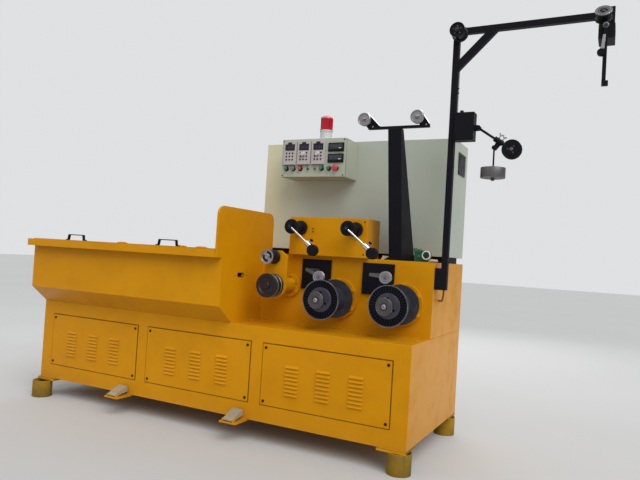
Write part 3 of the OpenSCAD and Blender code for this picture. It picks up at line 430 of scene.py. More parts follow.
@dataclass(frozen=True)
class Paint(Finish):
    """Sprayed enamel on sheet metal or tube."""

    shade: Rgb = (0.4, 0.2, 0.02)
    dust: Rgb = (0.36, 0.32, 0.26)
    mottle: float = 0.4
    dust_amount: float = 0.3
    splash: float = 0.0
    effect: ClassVar[str] = "paint_skin"

    def inputs(self) -> dict[str, object]:
        """Values for the effect's own sockets."""
        return {
            "Shade": self.shade, "Dust": self.dust, "Mottle": self.mottle,
            "Dust Amount": self.dust_amount, "Splash Height": self.splash,
        }


@dataclass(frozen=True)
class BounceLitPaint(Paint):
    """Enamel with painted bounce light: a yellow tint, graded along X, that stands for light thrown onto it
    from the yellow parts beside it.
    """

    bounce_tint: Rgb = (0.5, 0.48, 0.33)
    bounce_from: float = 0.1
    bounce_to: float = -0.35

    def extras(self, desk: Desk, shader: Node, skin: Node) -> None:
        """Paints a yellow bounce-light tint onto the paint, graded from one place along X to another."""
        where = desk.place()
        along = desk.plus(desk.split(where)[0], desk.times(desk.noise(where, 2.2), 0.12))
        amount = desk.ramp(along, self.bounce_to, self.bounce_from, 0.85, 0.0)
        desk.feed(shader, {"Base Color": desk.mix(amount, skin.outputs["Color"], self.bounce_tint)})


@dataclass(frozen=True)
class Metal(Finish):
    """Turned, cast or plated metal."""

    spread: float = 0.2
    bump_depth: float = 0.0002
    metallic: float = 1.0
    oil: Rgb = (0.06, 0.05, 0.045)
    oil_amount: float = 0.3
    effect: ClassVar[str] = "metal_skin"

    def inputs(self) -> dict[str, object]:
        """Values for the effect's own sockets."""
        return {"Oil": self.oil, "Oil Amount": self.oil_amount}


@dataclass(frozen=True)
class Plastic(Finish):
    """Moulded plastic, rubber or Bakelite."""

    spread: float = 0.1
    bump: float = 0.08
    bump_depth: float = 0.0002
    scuff: Rgb = (0.2, 0.2, 0.2)
    scuff_amount: float = 0.3

    def inputs(self) -> dict[str, object]:
        """Values for the effect's own sockets."""
        return {"Scuff": self.scuff, "Scuff Amount": self.scuff_amount}


@dataclass(frozen=True)
class Lens(Plastic):
    """Coloured translucent plastic, such as a lamp's dome."""

    spread: float = 0.08
    bump: float = 0.05

    def extras(self, desk: Desk, shader: Node, skin: Node) -> None:
        """Lets light spread under the surface."""
        desk.feed(shader, {"Subsurface Weight": 0.15, "Subsurface Scale": 0.01})


@dataclass(frozen=True)
class Display(Finish):
    """A dark window with a faint glow."""

    spread: float = 0.05
    bump: float = 0.02
    bump_depth: float = 0.0001
    glow: float = 0.4

    def extras(self, desk: Desk, shader: Node, skin: Node) -> None:
        """Gives the window its glow."""
        desk.feed(shader, {"Emission Color": skin.outputs["Color"], "Emission Strength": self.glow})


class Finishes:
    """Every finish of the machine."""

    YELLOW = Paint(
        "yellow_paint", (0.61, 0.258, 0.003), 0.36, 0.14, 0.25, 0.0006, specular=0.2, tint=(1.0, 0.75, 0.35),
        shade=(0.50, 0.198, 0.0025), dust=(0.38, 0.19, 0.03), mottle=0.8, dust_amount=0.4, splash=0.17,
    )
    # Darkened yellow for strips laid in the panel gaps and along the lid's seam: painted shade of the gaps.
    GAP_SHADE = Paint(
        "gap_painted_shade", (0.10, 0.052, 0.006), 0.8, 0.1, 0.3, specular=0.1,
        shade=(0.05, 0.028, 0.006), dust=(0.14, 0.09, 0.03), mottle=1.0,
    )
    FOOT = Paint(
        "foot_paint", (0.36, 0.19, 0.008), 0.62, 0.2, 0.5, 0.0008, specular=0.15, shade=(0.15, 0.10, 0.012),
        dust=(0.13, 0.095, 0.035), mottle=1.0, dust_amount=0.7, splash=0.03,
    )
    BLACK = Paint(
        "black_paint", (0.0046, 0.0040, 0.0086), 0.48, 0.15, 0.2, specular=0.09,
        shade=(0.0075, 0.0075, 0.011), dust=(0.035, 0.033, 0.030), mottle=0.6, dust_amount=0.25,
    )
    # The cabinet's paint turns yellower towards its left end: painted bounce light from the yellow parts
    # beside it.
    CABINET = BounceLitPaint(
        "grey_green_paint", (0.46, 0.50, 0.425), 0.45, 0.12, 0.18, specular=0.35,
        shade=(0.41, 0.455, 0.385), dust=(0.28, 0.26, 0.18), mottle=0.6, bounce_tint=(0.64, 0.60, 0.40),
    )
    CONTROL = Paint(
        "control_box_paint", (0.43, 0.455, 0.365), 0.42, 0.12, 0.15, 0.0003, specular=0.35,
        shade=(0.39, 0.415, 0.33), dust=(0.28, 0.26, 0.19), mottle=0.6, dust_amount=0.25,
    )
    GREEN = Paint(
        "valve_green_paint", (0.004, 0.075, 0.028), 0.24, 0.12, 0.3, 0.0005, coat=0.15, specular=0.3,
        shade=(0.001, 0.016, 0.008), dust=(0.10, 0.20, 0.13), mottle=1.0,
    )
    PEDAL = Paint(
        "pedal_grey_paint", (0.37, 0.31, 0.215), 0.62, 0.2, 0.6, 0.0008, specular=0.3,
        shade=(0.23, 0.19, 0.13), dust=(0.30, 0.24, 0.14), mottle=1.0, dust_amount=0.6, splash=0.1,
    )
    SPOOL = Plastic(
        "spool_plastic", (0.030, 0.031, 0.042), 0.42, 0.2, 0.15, 0.0003,
        specular=0.25, scuff=(0.085, 0.086, 0.105), scuff_amount=0.45,
    )
    # A darker copy of the spool plastic for the pockets between the ribs: painted shade.
    SPOOL_POCKET_SHADE = Plastic(
        "spool_pocket_painted_shade", (0.0035, 0.0040, 0.0085), 0.42, 0.15, 0.12, 0.0003,
        specular=0.12, scuff=(0.012, 0.013, 0.020),
    )
    # A darker copy of the spool plastic for the ribs' upper edges: painted shade next to the pockets.
    RIB_EDGE_SHADE = Plastic(
        "spool_rib_edge_painted_shade", (0.010, 0.011, 0.016), 0.42, 0.15, 0.12, 0.0003,
        specular=0.2, scuff=(0.045, 0.045, 0.055), scuff_amount=0.5,
    )
    # A pale copy of the spool plastic for the front flange's rim: a painted highlight along the edge.
    SPOOL_RIM_HIGHLIGHT = Plastic(
        "spool_rim_painted_highlight", (0.085, 0.082, 0.092), 0.38, 0.15, 0.12, 0.0003,
        specular=0.3, scuff=(0.30, 0.29, 0.31), scuff_amount=0.6,
    )
    SPOOL_DISC = Plastic(
        "spool_disc_plastic", (0.046, 0.043, 0.060), 0.45, 0.2, 0.15, 0.0003,
        specular=0.25, scuff=(0.095, 0.088, 0.11), scuff_amount=0.5,
    )
    BLACK_PLASTIC = Plastic(
        "black_plastic", (0.0055, 0.0055, 0.0085), 0.36, 0.15, 0.15, 0.0003,
        specular=0.16, scuff=(0.022, 0.022, 0.027),
    )
    BEZEL = Plastic(
        "keypad_bezel_plastic", (0.46, 0.41, 0.40), 0.5, bump=0.1,
        specular=0.3, scuff=(0.42, 0.31, 0.30), scuff_amount=0.5,
    )
    KEY = Plastic(
        "key_rubber", (0.02, 0.018, 0.026), 0.6, bump=0.1,
        specular=0.3, scuff=(0.06, 0.06, 0.065), scuff_amount=0.25,
    )
    CAP_GREEN = Plastic("button_cap_green", (0.040, 0.155, 0.085), 0.3, scuff=(0.10, 0.24, 0.15))
    CAP_RED = Plastic("button_cap_red", (0.52, 0.040, 0.048), 0.3, scuff=(0.6, 0.14, 0.14))
    CAP_GREY = Plastic("selector_grey", (0.17, 0.165, 0.135), scuff=(0.28, 0.27, 0.23))
    KNOB_PALE = Plastic("key_knob_pale", (0.55, 0.50, 0.48), 0.35, scuff=(0.6, 0.56, 0.54))
    WHITE = Plastic("beacon_white_plastic", (0.60, 0.615, 0.58), scuff=(0.5, 0.5, 0.45), scuff_amount=0.4)
    CREAM = Plastic("cream_plastic", (0.66, 0.61, 0.47), scuff=(0.45, 0.40, 0.30), scuff_amount=0.4)
    GREY_LEAD = Plastic(
        "grey_lead_sheath", (0.25, 0.25, 0.26), 0.55, bump=0.1, scuff=(0.16, 0.16, 0.17), scuff_amount=0.4,
    )
    BROWN_LEAD = Plastic(
        "brown_lead_sheath", (0.16, 0.062, 0.018), 0.5, bump=0.1, scuff=(0.10, 0.05, 0.02), scuff_amount=0.4,
    )
    RED_LENS = Lens("beacon_red_lens", (0.40, 0.004, 0.013), 0.16, coat=0.12, scuff=(0.60, 0.02, 0.04))
    # A pale pink copy of the red lens for the dome's top rim: a painted highlight.
    RED_RIM_HIGHLIGHT = Lens(
        "beacon_rim_painted_highlight", (0.62, 0.10, 0.12), 0.2, coat=0.5, scuff=(0.75, 0.30, 0.32), scuff_amount=0.5,
    )
    SCREEN = Display("screen_glass", (0.016, 0.015, 0.024), 0.14, glow=0.12, specular=0.3)
    WINDOW = Display("meter_glass", (0.034, 0.036, 0.042), 0.2, glow=0.15, specular=0.3)
    DIGIT = Display("display_digit", (0.085, 0.082, 0.105), 0.3)
    # A pale glowing mark that stands for light glinting on a meter's glass: a painted glint.
    PAINTED_GLINT = Display("display_painted_glint", (0.35, 0.34, 0.36), 0.3, glow=0.3)
    DARK_SCREW = Metal(
        "dark_screw_steel", (0.035, 0.012, 0.006), 0.5,
        metallic=0.5, oil=(0.01, 0.006, 0.004), oil_amount=0.4,
    )
    LEVER = Metal("toggle_lever_steel", (0.10, 0.10, 0.07), 0.45, metallic=0.6, oil_amount=0.4)
    DARK_STEEL = Metal("dark_steel", (0.045, 0.044, 0.050), 0.4, metallic=0.7, oil_amount=0.4)
    STEEL = Metal("bright_steel", (0.60, 0.60, 0.61), 0.24, bump=0.12, oil_amount=0.35)
    PALE_STEEL = Metal("pale_plated_steel", (0.80, 0.78, 0.72), 0.3, 0.15, metallic=0.3, oil_amount=0.2)
    CHROME = Metal("chromed_steel", (0.72, 0.72, 0.73), 0.10, 0.12, 0.03, 0.0001, oil_amount=0.15)
    ALUMINIUM = Metal("turned_aluminium", (0.50, 0.48, 0.51), 0.32, 0.18, 0.15, oil_amount=0.5)
    DULL = Metal(
        "dull_turned_steel", (0.20, 0.19, 0.205), 0.42, 0.2, 0.2, 0.0003,
        oil=(0.03, 0.026, 0.028), oil_amount=0.5,
    )
    WORN = Metal(
        "worn_brown_steel", (0.040, 0.029, 0.027), 0.42, 0.2, 0.2, 0.0003, 0.7,
        oil=(0.016, 0.011, 0.010), oil_amount=0.5,
    )
    NUT = Metal(
        "nut_steel", (0.115, 0.095, 0.092), 0.36, 0.2, 0.2, 0.0003, 0.8,
        oil=(0.04, 0.03, 0.028), oil_amount=0.5,
    )
    ZINC = Metal("zinc_fastener", (0.42, 0.41, 0.39), 0.36, oil_amount=0.5)
    IRON = Metal(
        "grey_iron", (0.15, 0.142, 0.146), 0.48, 0.2, 0.3, 0.0004, 0.75,
        oil=(0.05, 0.045, 0.045), oil_amount=0.45,
    )


class Stock:
    """One mesh made of turned, pressed and bent shapes, given in the part's own millimetres."""

    def __init__(self) -> None:
        """Starts empty."""
        self.mesh = bmesh.new()

    def ring(self, points: Iterable[Vector]) -> Ring:
        """Adds a row of vertices at places in metres."""
        return [self.mesh.verts.new(p) for p in points]

    def skin(self, rings: Sequence[Ring], sides: int) -> None:
        """Joins neighbouring rings with faces. A ring of one vertex is a pole."""
        for one, two in zip(rings, rings[1:]):
            for i in range(sides):
                j = (i + 1) % sides
                corners = (one[i % len(one)], one[j % len(one)], two[j % len(two)], two[i % len(two)])
                face = list(dict.fromkeys(corners))
                if len(face) > 2:
                    self.mesh.faces.new(face)

    def tube(self, rings: Sequence[Ring], sides: int) -> None:
        """Joins neighbouring rings and closes both ends."""
        self.skin(rings, sides)
        self.mesh.faces.new(list(reversed(rings[0])))
        self.mesh.faces.new(rings[-1])

    def lathe(
        self, center: Point, profile: Outline, sides: int = 40, turn: float = 0.0, axis: Vector = FRONT
    ) -> None:
        """Turns a profile about an axis.

        Args:
            center: Origin of the profile's heights.
            profile: Pairs of radius and height.
            sides: Number of sides.
            turn: Angle of the first corner, in degrees.
            axis: Direction of the heights.
        """
        w = axis.normalized()
        u = w.orthogonal().normalized() if abs(w.z) < 0.9 else RIGHT.cross(w).normalized()
        rings = []
        for radius, height in profile:
            mid = at(*center) + w * height * 0.001
            count = sides if radius > 0 else 1
            rings.append(self.ring(circle(mid, u, w.cross(u), radius * 0.001, count, math.radians(turn))))
        self.skin(rings, sides)

    def block(self, low: Point, high: Point) -> None:
        """Adds a box between two corners."""
        a, b = at(*low), at(*high)
        v = self.ring(Vector((x, y, z)) for x in (a.x, b.x) for y in (a.y, b.y) for z in (a.z, b.z))
        for face in ((0, 1, 3, 2), (4, 6, 7, 5), (0, 4, 5, 1), (2, 3, 7, 6), (0, 2, 6, 4), (1, 5, 7, 3)):
            self.mesh.faces.new([v[i] for i in face])

    def plate(
        self, origin: Point, outline: Outline, thickness: float, u: Vector = RIGHT, v: Vector = UP
    ) -> None:
        """Presses a flat outline out of plate.

        Args:
            origin: Origin of the outline.
            outline: Corners in millimetres along u and v.
            thickness: Thickness along u cross v, in millimetres.
            u: First direction of the outline.
            v: Second direction of the outline.
        """
        base = at(*origin)
        w = u.cross(v).normalized() * thickness * 0.001
        low = self.ring(base + (u * a + v * b) * 0.001 for a, b in outline)
        high = self.ring(base + (u * a + v * b) * 0.001 + w for a, b in outline)
        self.mesh.faces.new(low)
        self.mesh.faces.new(list(reversed(high)))
        for i in range(len(low)):
            j = (i + 1) % len(low)
            self.mesh.faces.new((low[i], high[i], high[j], low[j]))

    def sweep(self, points: Sequence[Point], radius: float, sides: int) -> None:
        """Bends a round rod along points.

        Args:
            points: Places that the rod's middle follows.
            radius: Radius of the rod.
            sides: Number of sides.
        """
        spots = [at(*p) for p in points]
        side: Optional[Vector] = None
        rings = []
        for i, spot in enumerate(spots):
            ahead = (spots[min(i + 1, len(spots) - 1)] - spots[max(i - 1, 0)]).normalized()
            side = ahead.orthogonal() if side is None else side - ahead * side.dot(ahead)
            side = side.normalized()
            rings.append(self.ring(circle(spot, side, ahead.cross(side), radius * 0.001, sides)))
        self.tube(rings, sides)

    def hex_bolt(self, center: Point, flats: float, turn: float = 0.0, axis: Vector = FRONT) -> None:
        """Adds a hexagon head on a washer, its underside at the centre given."""
        r = flats / math.sqrt(3)
        h = flats * 0.42
        t = flats * 0.1
        self.lathe(center, ((r * 1.28, 0), (r * 1.3, t * 0.4), (r * 1.22, t), (0, t)), 24, axis=axis)
        self.lathe(center, ((r, t), (r, t + h * 0.86), (r * 0.84, t + h), (0, t + h)), 6, turn, axis)

    def cap_screw(self, center: Point, radius: float, axis: Vector = FRONT) -> None:
        """Adds a round screw head with a recess, its underside at the centre given."""
        h = radius * 0.55
        profile = (
            (radius, 0), (radius, h * 0.35), (radius * 0.86, h * 0.8), (radius * 0.6, h), (radius * 0.34, h),
            (radius * 0.30, h * 0.3), (0, h * 0.3),
        )
        self.lathe(center, profile, 16, axis=axis)

    def screw_grid(self, xs: Iterable[float], y: float, zs: Sequence[float], radius: float) -> None:
        """Adds cap screws on the front face at every crossing of some X and Z."""
        for x in xs:
            for z in zs:
                self.cap_screw((x, y, z), radius)

    def beads(self, runs: Iterable[tuple[Point, Point, float]], seed: int) -> None:
        """Adds weld beads with their ripples.

        Args:
            runs: Both ends and the mean radius of each bead.
            seed: Seed of the first bead's unevenness. Each further bead takes the next.
        """
        pitch, sides = 6.0, 8
        for extra, (start, end, radius) in enumerate(runs):
            rng = random.Random(seed + extra)
            a, b = at(*start), at(*end)
            along = (b - a).normalized()
            side = along.orthogonal().normalized()
            count = max(3, int((b - a).length * 1000 / pitch))
            rings = []
            for i in range(count + 1):
                mid = a.lerp(b, i / count) + side * rng.uniform(-0.25, 0.25) * radius * 0.001
                r = radius * (0.8 + 0.3 * rng.random()) * (0.25 if i in (0, count) else 1.0) * 0.001
                rings.append(self.ring(circle(mid, side, along.cross(side), r, sides)))
            self.tube(rings, sides)

    def piece(
        self, name: str, finish: Finish, bevel: float = 0.0, angle: float = 35.0, body: Body = Body.FRAME
    ) -> Piece:
        """Turns the stock into a piece that rides on a body.

        Args:
            name: Name of the piece.
            finish: Its finish.
            bevel: Width of its softened edges, in millimetres.
            angle: Angle in degrees over which an edge stays sharp.
            body: Body that carries it.

        Returns:
            The piece.
        """
        bmesh.ops.recalc_face_normals(self.mesh, faces=self.mesh.faces[:])
        data = bpy.data.meshes.new(name)
        self.mesh.to_mesh(data)
        self.mesh.free()
        data.shade_smooth()
        data.set_sharp_from_angle(angle=math.radians(angle))
        data.materials.append(finish.build())
        piece = bpy.data.objects.new(name, data)
        bpy.context.scene.collection.objects.link(piece)
        if bevel > 0:
            soften(piece, bevel)
        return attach(piece, body.value)


def soften(piece: Piece, width: float) -> None:
    """Adds a small bevel to a piece's sharp edges, with its width in millimetres."""
    bevel = piece.modifiers.new("soft_edges", "BEVEL")
    bevel.width = width * 0.001
    bevel.segments = 2
    bevel.limit_method = "ANGLE"
    bevel.angle_limit = math.radians(38)
    bevel.harden_normals = True


def dress(node: str, finish: Finish, bevel: float = 0.0) -> None:
    """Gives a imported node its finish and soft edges.

    Args:
        node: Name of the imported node.
        finish: Finish of the whole node.
        bevel: Width of the softened edges in millimetres, or none.
    """
    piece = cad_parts[node]
    piece.data.materials.clear()
    piece.data.materials.append(finish.build())
    if bevel > 0:
        weld = piece.modifiers.new("joined_corners", "WELD")
        weld.merge_threshold = 0.00001
        plain = piece.modifiers.new("plain_faces", "DECIMATE")
        plain.decimate_type = "DISSOLVE"
        plain.angle_limit = math.radians(0.5)
        plain.delimit = {"MATERIAL", "SHARP"}
        soften(piece, bevel)


def second_finish(node: str, finish: Finish, chosen: Callable[[Vector], bool]) -> None:
    """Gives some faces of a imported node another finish.

    Args:
        node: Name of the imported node.
        finish: Finish of the chosen faces.
        chosen: Says from a face's middle, in the part's millimetres, whether it is chosen.
    """
    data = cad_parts[node].data
    data.materials.append(finish.build())
    index = len(data.materials) - 1
    for face in data.polygons:
        if chosen((face.center - PART_ORIGIN) * 1000.0):
            face.material_index = index


@dataclass
class Assembly:
    """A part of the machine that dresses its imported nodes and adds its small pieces.

    Attributes:
        label: Name in the log.
        coats: Node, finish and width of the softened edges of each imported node.
    """

    label: str = "assembly"
    coats: tuple[tuple[str, Finish, float], ...] = ()

    def dress(self) -> None:
        """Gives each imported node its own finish, and then its marked faces theirs."""
        for node, finish, bevel in self.coats:
            dress(node, finish, bevel)
        self.mark()

    def mark(self) -> None:
        """Gives chosen faces a second finish."""

    def add(self) -> list[Piece]:
        """Adds the small pieces.

        Returns:
            The added pieces.
        """
        return []


@dataclass
class BaseCabinet(Assembly):
    """The louvred base with its feet, shelves and pedals."""

    label: str = "base cabinet"
    coats: tuple[tuple[str, Finish, float], ...] = (
        ("base_cabinet", Finishes.YELLOW, 2.0),
        ("front_panels", Finishes.YELLOW, 0.0),
        ("feet_and_shelves", Finishes.FOOT, 1.0),
        ("pedal_left", Finishes.PEDAL, 2.5),
        ("pedal_right", Finishes.PEDAL, 2.5),
    )
    bottom: float = 110.0
    panel_width: float = 690.67
    panel_step: float = 767.67
    panel_right: float = -87.0
    panel_low: float = 199.0
    panel_high: float = 505.0
    joint: float = 2.6
    pedal_xs: tuple[float, float] = (-1689.0, -899.0)

    def mark(self) -> None:
        """Paints the shelves and foot plates as the base."""
        second_finish("feet_and_shelves", Finishes.YELLOW, lambda p: p.z > self.bottom - 24 and p.y < 10)

    def _panel_details(self) -> list[Piece]:
        """Adds the panels' corner screws and a dark strip in the gap around each panel, painted as the shade
        inside the gap.
        """
        screws, gap_shades = Stock(), Stock()
        low, high, gap = self.panel_low, self.panel_high, self.joint
        front, back = -0.9, 0.5
        for i in range(3):
            right = self.panel_right - i * self.panel_step
            left = right - self.panel_width
            screws.screw_grid((right - 17, left + 17), -2, (low + 19, high - 19), 7.5)
            # Dark strips filling the gap round the panel: painted shade.
            gap_shades.block((left - gap, front, low - gap), (left, back, high + gap))
            gap_shades.block((right, front, low - gap), (right + gap, back, high + gap))
            gap_shades.block((left, front, low - gap), (right, back, low))
            gap_shades.block((left, front, high), (right, back, high + gap))
        return [
            screws.piece("panel_screws", Finishes.DARK_SCREW, angle=30),
            gap_shades.piece("panel_gap_shade", Finishes.GAP_SHADE),
        ]

    def _treads(self) -> list[Piece]:
        """Adds the ridges across the two pedals, which rise towards the rear."""
        made = []
        for side, x in zip(SIDES, self.pedal_xs):
            ridges = Stock()
            for k in range(6):
                y = -84 + k * 11.5
                z = 129.0 + (y + 92) * 31 / 74
                ridges.block((x - 22, y, z - 1.5), (x + 22, y + 4, z + 2.6))
            made.append(ridges.piece(f"pedal_{side}_tread", Finishes.PEDAL, 0.8, body=Body(f"pedal_{side}")))
        return made

    def add(self) -> list[Piece]:
        """Adds panel screws, welds and the pedals' treads, and returns them."""
        welds, z = Stock(), self.bottom - 1
        ends = [(-2396, -2264, -1), (-136, -4, -1)] + [(x - 44, x + 44, -1.5) for x in self.pedal_xs]
        welds.beads((((x0, y, z), (x1, y, z), 3.0) for x0, x1, y in ends), 0)
        return [
            welds.piece("base_welds", Finishes.YELLOW, angle=60),
            *self._panel_details(),
            *self._treads(),
        ]


@dataclass
class WaterTank(Assembly):
    """The long tank, its tall end plate and its two lids."""

    label: str = "water tank"
    coats: tuple[tuple[str, Finish, float], ...] = (
        ("tank_trough", Finishes.YELLOW, 1.2),
        ("tank_left_end", Finishes.YELLOW, 1.2),
        ("tank_end_plate", Finishes.YELLOW, 1.5),
        ("tank_lid_left", Finishes.YELLOW, 0.8),
        ("tank_lid_right", Finishes.YELLOW, 0.8),
    )
    plate_x: float = -992.0
    slot_y: float = 67.0
    slot_z: float = 838.0

    def mark(self) -> None:
        """Paints the lids' handles black."""
        for side in SIDES:
            lid = f"tank_lid_{side}"
            second_finish(lid, Finishes.BLACK, lambda p: -125 < p.y < -90 and p.z > RIM_Z + 4.6)

    def _wire_guide(self) -> Stock:
        """Shapes the raised lip round the wire's slot in the end plate."""
        sides, half_length, radius = 24, 17, 12
        guide = Stock()
        base = at(self.plate_x, self.slot_y, self.slot_z)
        rows = []
        for lift, inset, flat in ((0.0, 0.0, 1.0), (1.6, 0.0, 1.0), (2.4, 3.6, 0.7), (-1.0, 3.6, 0.7)):
            row = []
            for k in range(sides):
                c, s = math.cos(math.tau * k / sides), math.sin(math.tau * k / sides)
                way = 1 if c > 0 else -1
                across = way * half_length + c * radius - way * inset * abs(c)
                row.append(base + Vector((lift, across, s * radius * flat)) * 0.001)
            rows.append(guide.ring(row))
        guide.skin(rows, sides)
        return guide

    def add(self) -> list[Piece]:
        """Adds the welds and the wire guide with its screws, and returns them."""
        x, welds, screws = self.plate_x + 2, Stock(), Stock()
        welds.beads((
            ((x, 4, DECK_Z + 2), (x, 280, DECK_Z + 2), 3.2),
            ((x, -2, DECK_Z + 6), (x, -104, DECK_Z + 88), 3.0),
            ((-2396, 3, DECK_Z + 1), (-1006, 3, DECK_Z + 1), 2.6),
            ((-1006, -106, RIM_Z - 42), (-1006, -106, DECK_Z + 94), 2.4),
            ((x, 284, DECK_Z + 6), (x, 284, RIM_Z - 6), 2.6),
        ), 21)
        for y in (self.slot_y - 56, self.slot_y + 56):
            screws.cap_screw((self.plate_x, y, self.slot_z - 2), 4.5, RIGHT)
        return [
            screws.piece("wire_exit_screws", Finishes.ZINC, angle=30),
            welds.piece("tank_welds", Finishes.YELLOW, angle=60),
            self._wire_guide().piece("wire_exit_guide", Finishes.WORN, angle=30),
        ]


@dataclass
class Headstock(Assembly):
    """The headstock with its bracket, housings, plates and tension box."""

    label: str = "headstock"
    coats: tuple[tuple[str, Finish, float], ...] = (
        ("headstock", Finishes.YELLOW, 1.2),
        ("capstan_bracket", Finishes.YELLOW, 1.2),
        ("spindle_housings", Finishes.YELLOW, 1.2),
        ("traverse_plates", Finishes.BLACK, 1.0),
        ("tension_box", Finishes.YELLOW, 2.0),
        ("fixed_pins", Finishes.DARK_STEEL, 0.6),
    )
    face: float = 285.0
    plate_y: float = 112.0
    box_face: float = 245.0

    def _round_bolts(self) -> Stock:
        """Sets the hexagon bolts of the housings and of the bearing flange, and a collar on the bracket."""
        bolts = Stock()
        for x in SPOOL_XS:
            for k, spot in enumerate(around((x, self.face - 22, SPOOL_Z), 93, 6, 30)):
                bolts.hex_bolt(spot, 21, k * 11)
        x, z = CAPSTAN
        for k, spot in enumerate(around((x, self.face - 18, z), 52, 6, 20)):
            bolts.hex_bolt(spot, 13, k * 17)
        bolts.lathe((x, self.plate_y + 24, z), ((40.2, 0), (42.5, 0.4), (42.5, 8), (40.2, 8.4)), 48)
        return bolts

    def _traverse_screws(self) -> Stock:
        """Sets the screws in the corners of the traverse plates that the spools leave in view."""
        screws = Stock()
        low, high = span("traverse_plates")
        for x in (-645, -289):
            for dx in (-75, 75):
                for z in (low.z + 12, high.z - 12):
                    if dx < 0 or z > (low.z + high.z) / 2:
                        screws.cap_screw((x + dx, low.y, z), 5)
        return screws

    def add(self) -> list[Piece]:
        """Adds housing bolts, bracket bolts, plate screws and the low white block, and returns them."""
        bracket, screws, block, welds = Stock(), Stock(), Stock(), Stock()
        x, z = CAPSTAN
        for dx, dz in ((-52, 118), (52, 118), (-52, 20), (52, 20)):
            bracket.cap_screw((x + dx, self.plate_y, z + dz), 4.5)
        for sx, sz in ((-664, 1108), (-664, 1092), (-365, 1152), (-787, 1152), (-365, 983)):
            screws.cap_screw((sx, self.box_face, sz), 4.2)
        block.block((-299, 330, RIM_Z), (-258, 366, RIM_Z + 9))
        block.block((-295, 334, RIM_Z + 9), (-259, 362, RIM_Z + 20))
        foot, z = self.face - 1, DECK_Z + 1
        welds.beads((((-988, foot, z), (-4, foot, z), 2.8), ((1, foot + 7, z), (1, 866, z), 2.2)), 31)
        return [
            self._round_bolts().piece("housing_bolts", Finishes.YELLOW, angle=30),
            bracket.piece("bracket_screws", Finishes.YELLOW, angle=30),
            screws.piece("tension_box_screws", Finishes.DARK_SCREW, angle=30),
            self._traverse_screws().piece("traverse_plate_screws", Finishes.BLACK, angle=30),
            block.piece("low_white_block", Finishes.CREAM, 1.6),
            welds.piece("headstock_welds", Finishes.YELLOW, angle=60),
        ]


@dataclass
class TakeUp(Assembly):
    """The two spools on their spindles."""

    label: str = "take-up spools"
    coats: tuple[tuple[str, Finish, float], ...] = (
        ("spool_left", Finishes.SPOOL, 0.0),
        ("spool_right", Finishes.SPOOL, 0.0),
        ("spindle_left", Finishes.NUT, 0.0),
        ("spindle_right", Finishes.NUT, 0.0),
    )
    front: float = 60.0
    nut_front: float = 10.0

    def mark(self) -> None:
        """Gives the front flange's rim a painted highlight, its ribbed recess and the ribs' edges painted
        shade, and sets off the disc.
        """
        zones = (
            # The rim's pale finish is a painted highlight.
            (Finishes.SPOOL_RIM_HIGHLIGHT, lambda r, depth: r > 93.6 and depth < 1.5),
            # The recess and the ribs' edges get darker copies of the spool plastic: painted shade.
            (Finishes.SPOOL_POCKET_SHADE, lambda r, depth: 61.8 < r <= 95.4 and 1.3 < depth < 6.5),
            (Finishes.RIB_EDGE_SHADE, lambda r, depth: 61.8 < r <= 95.4 and 0.5 < depth <= 1.3),
            (Finishes.SPOOL_DISC, lambda r, depth: r < 61.9 and depth < 2),
        )
        for side, x in zip(SIDES, SPOOL_XS):
            for finish, zone in zones:
                second_finish(f"spool_{side}", finish, lambda p: zone(reach(p, x, SPOOL_Z), p.y - self.front))

    def add(self) -> list[Piece]:
        """Adds the nuts' centre bolts, turned rings, eyes and set screws, and returns them."""
        made = []
        for side, x in zip(SIDES, SPOOL_XS):
            body = Body(f"take_up_{side}")
            middle = (x, self.nut_front, SPOOL_Z)
            bolt, ring, eye = Stock(), Stock(), Stock()
            head = (
                (12, 0), (12, 1.4), (9.5, 2.0), (8.6, 2.0), (8.2, 6.5),
                (7.2, 7.5), (4.4, 7.5), (4, 3), (0, 3),
            )
            bolt.lathe(middle, head, 24)
            side_center = (x, self.nut_front + 7, SPOOL_Z)
            for spot in around(side_center, 40.6, 3, 90):
                way = Vector(spot) - Vector(side_center)
                bolt.lathe(spot, ((3.2, -1), (3.2, 1.2), (1.6, 1.4), (1.5, 0.2), (0, 0.2)), 10, axis=way)
            ring.lathe(middle, ((28, -0.4), (28.6, 0.3), (29.6, 0.3), (30.2, -0.4)), 64)
            edge = ((37.4, -0.6), (38.2, 0.5), (40.2, 0.4), (41.1, -0.5), (41.1, -3), (40, -3.2))
            ring.lathe(middle, edge, 64)
            eye.lathe(middle, ((16.5, -0.3), (16.2, 0.25), (12.1, 0.25)), 48)
            made += [
                bolt.piece(f"spindle_{side}_bolt", Finishes.ALUMINIUM, angle=30, body=body),
                ring.piece(f"spindle_{side}_ring", Finishes.DULL, angle=60, body=body),
                eye.piece(f"spindle_{side}_eye", Finishes.BLACK_PLASTIC, angle=60, body=body),
            ]
        return made


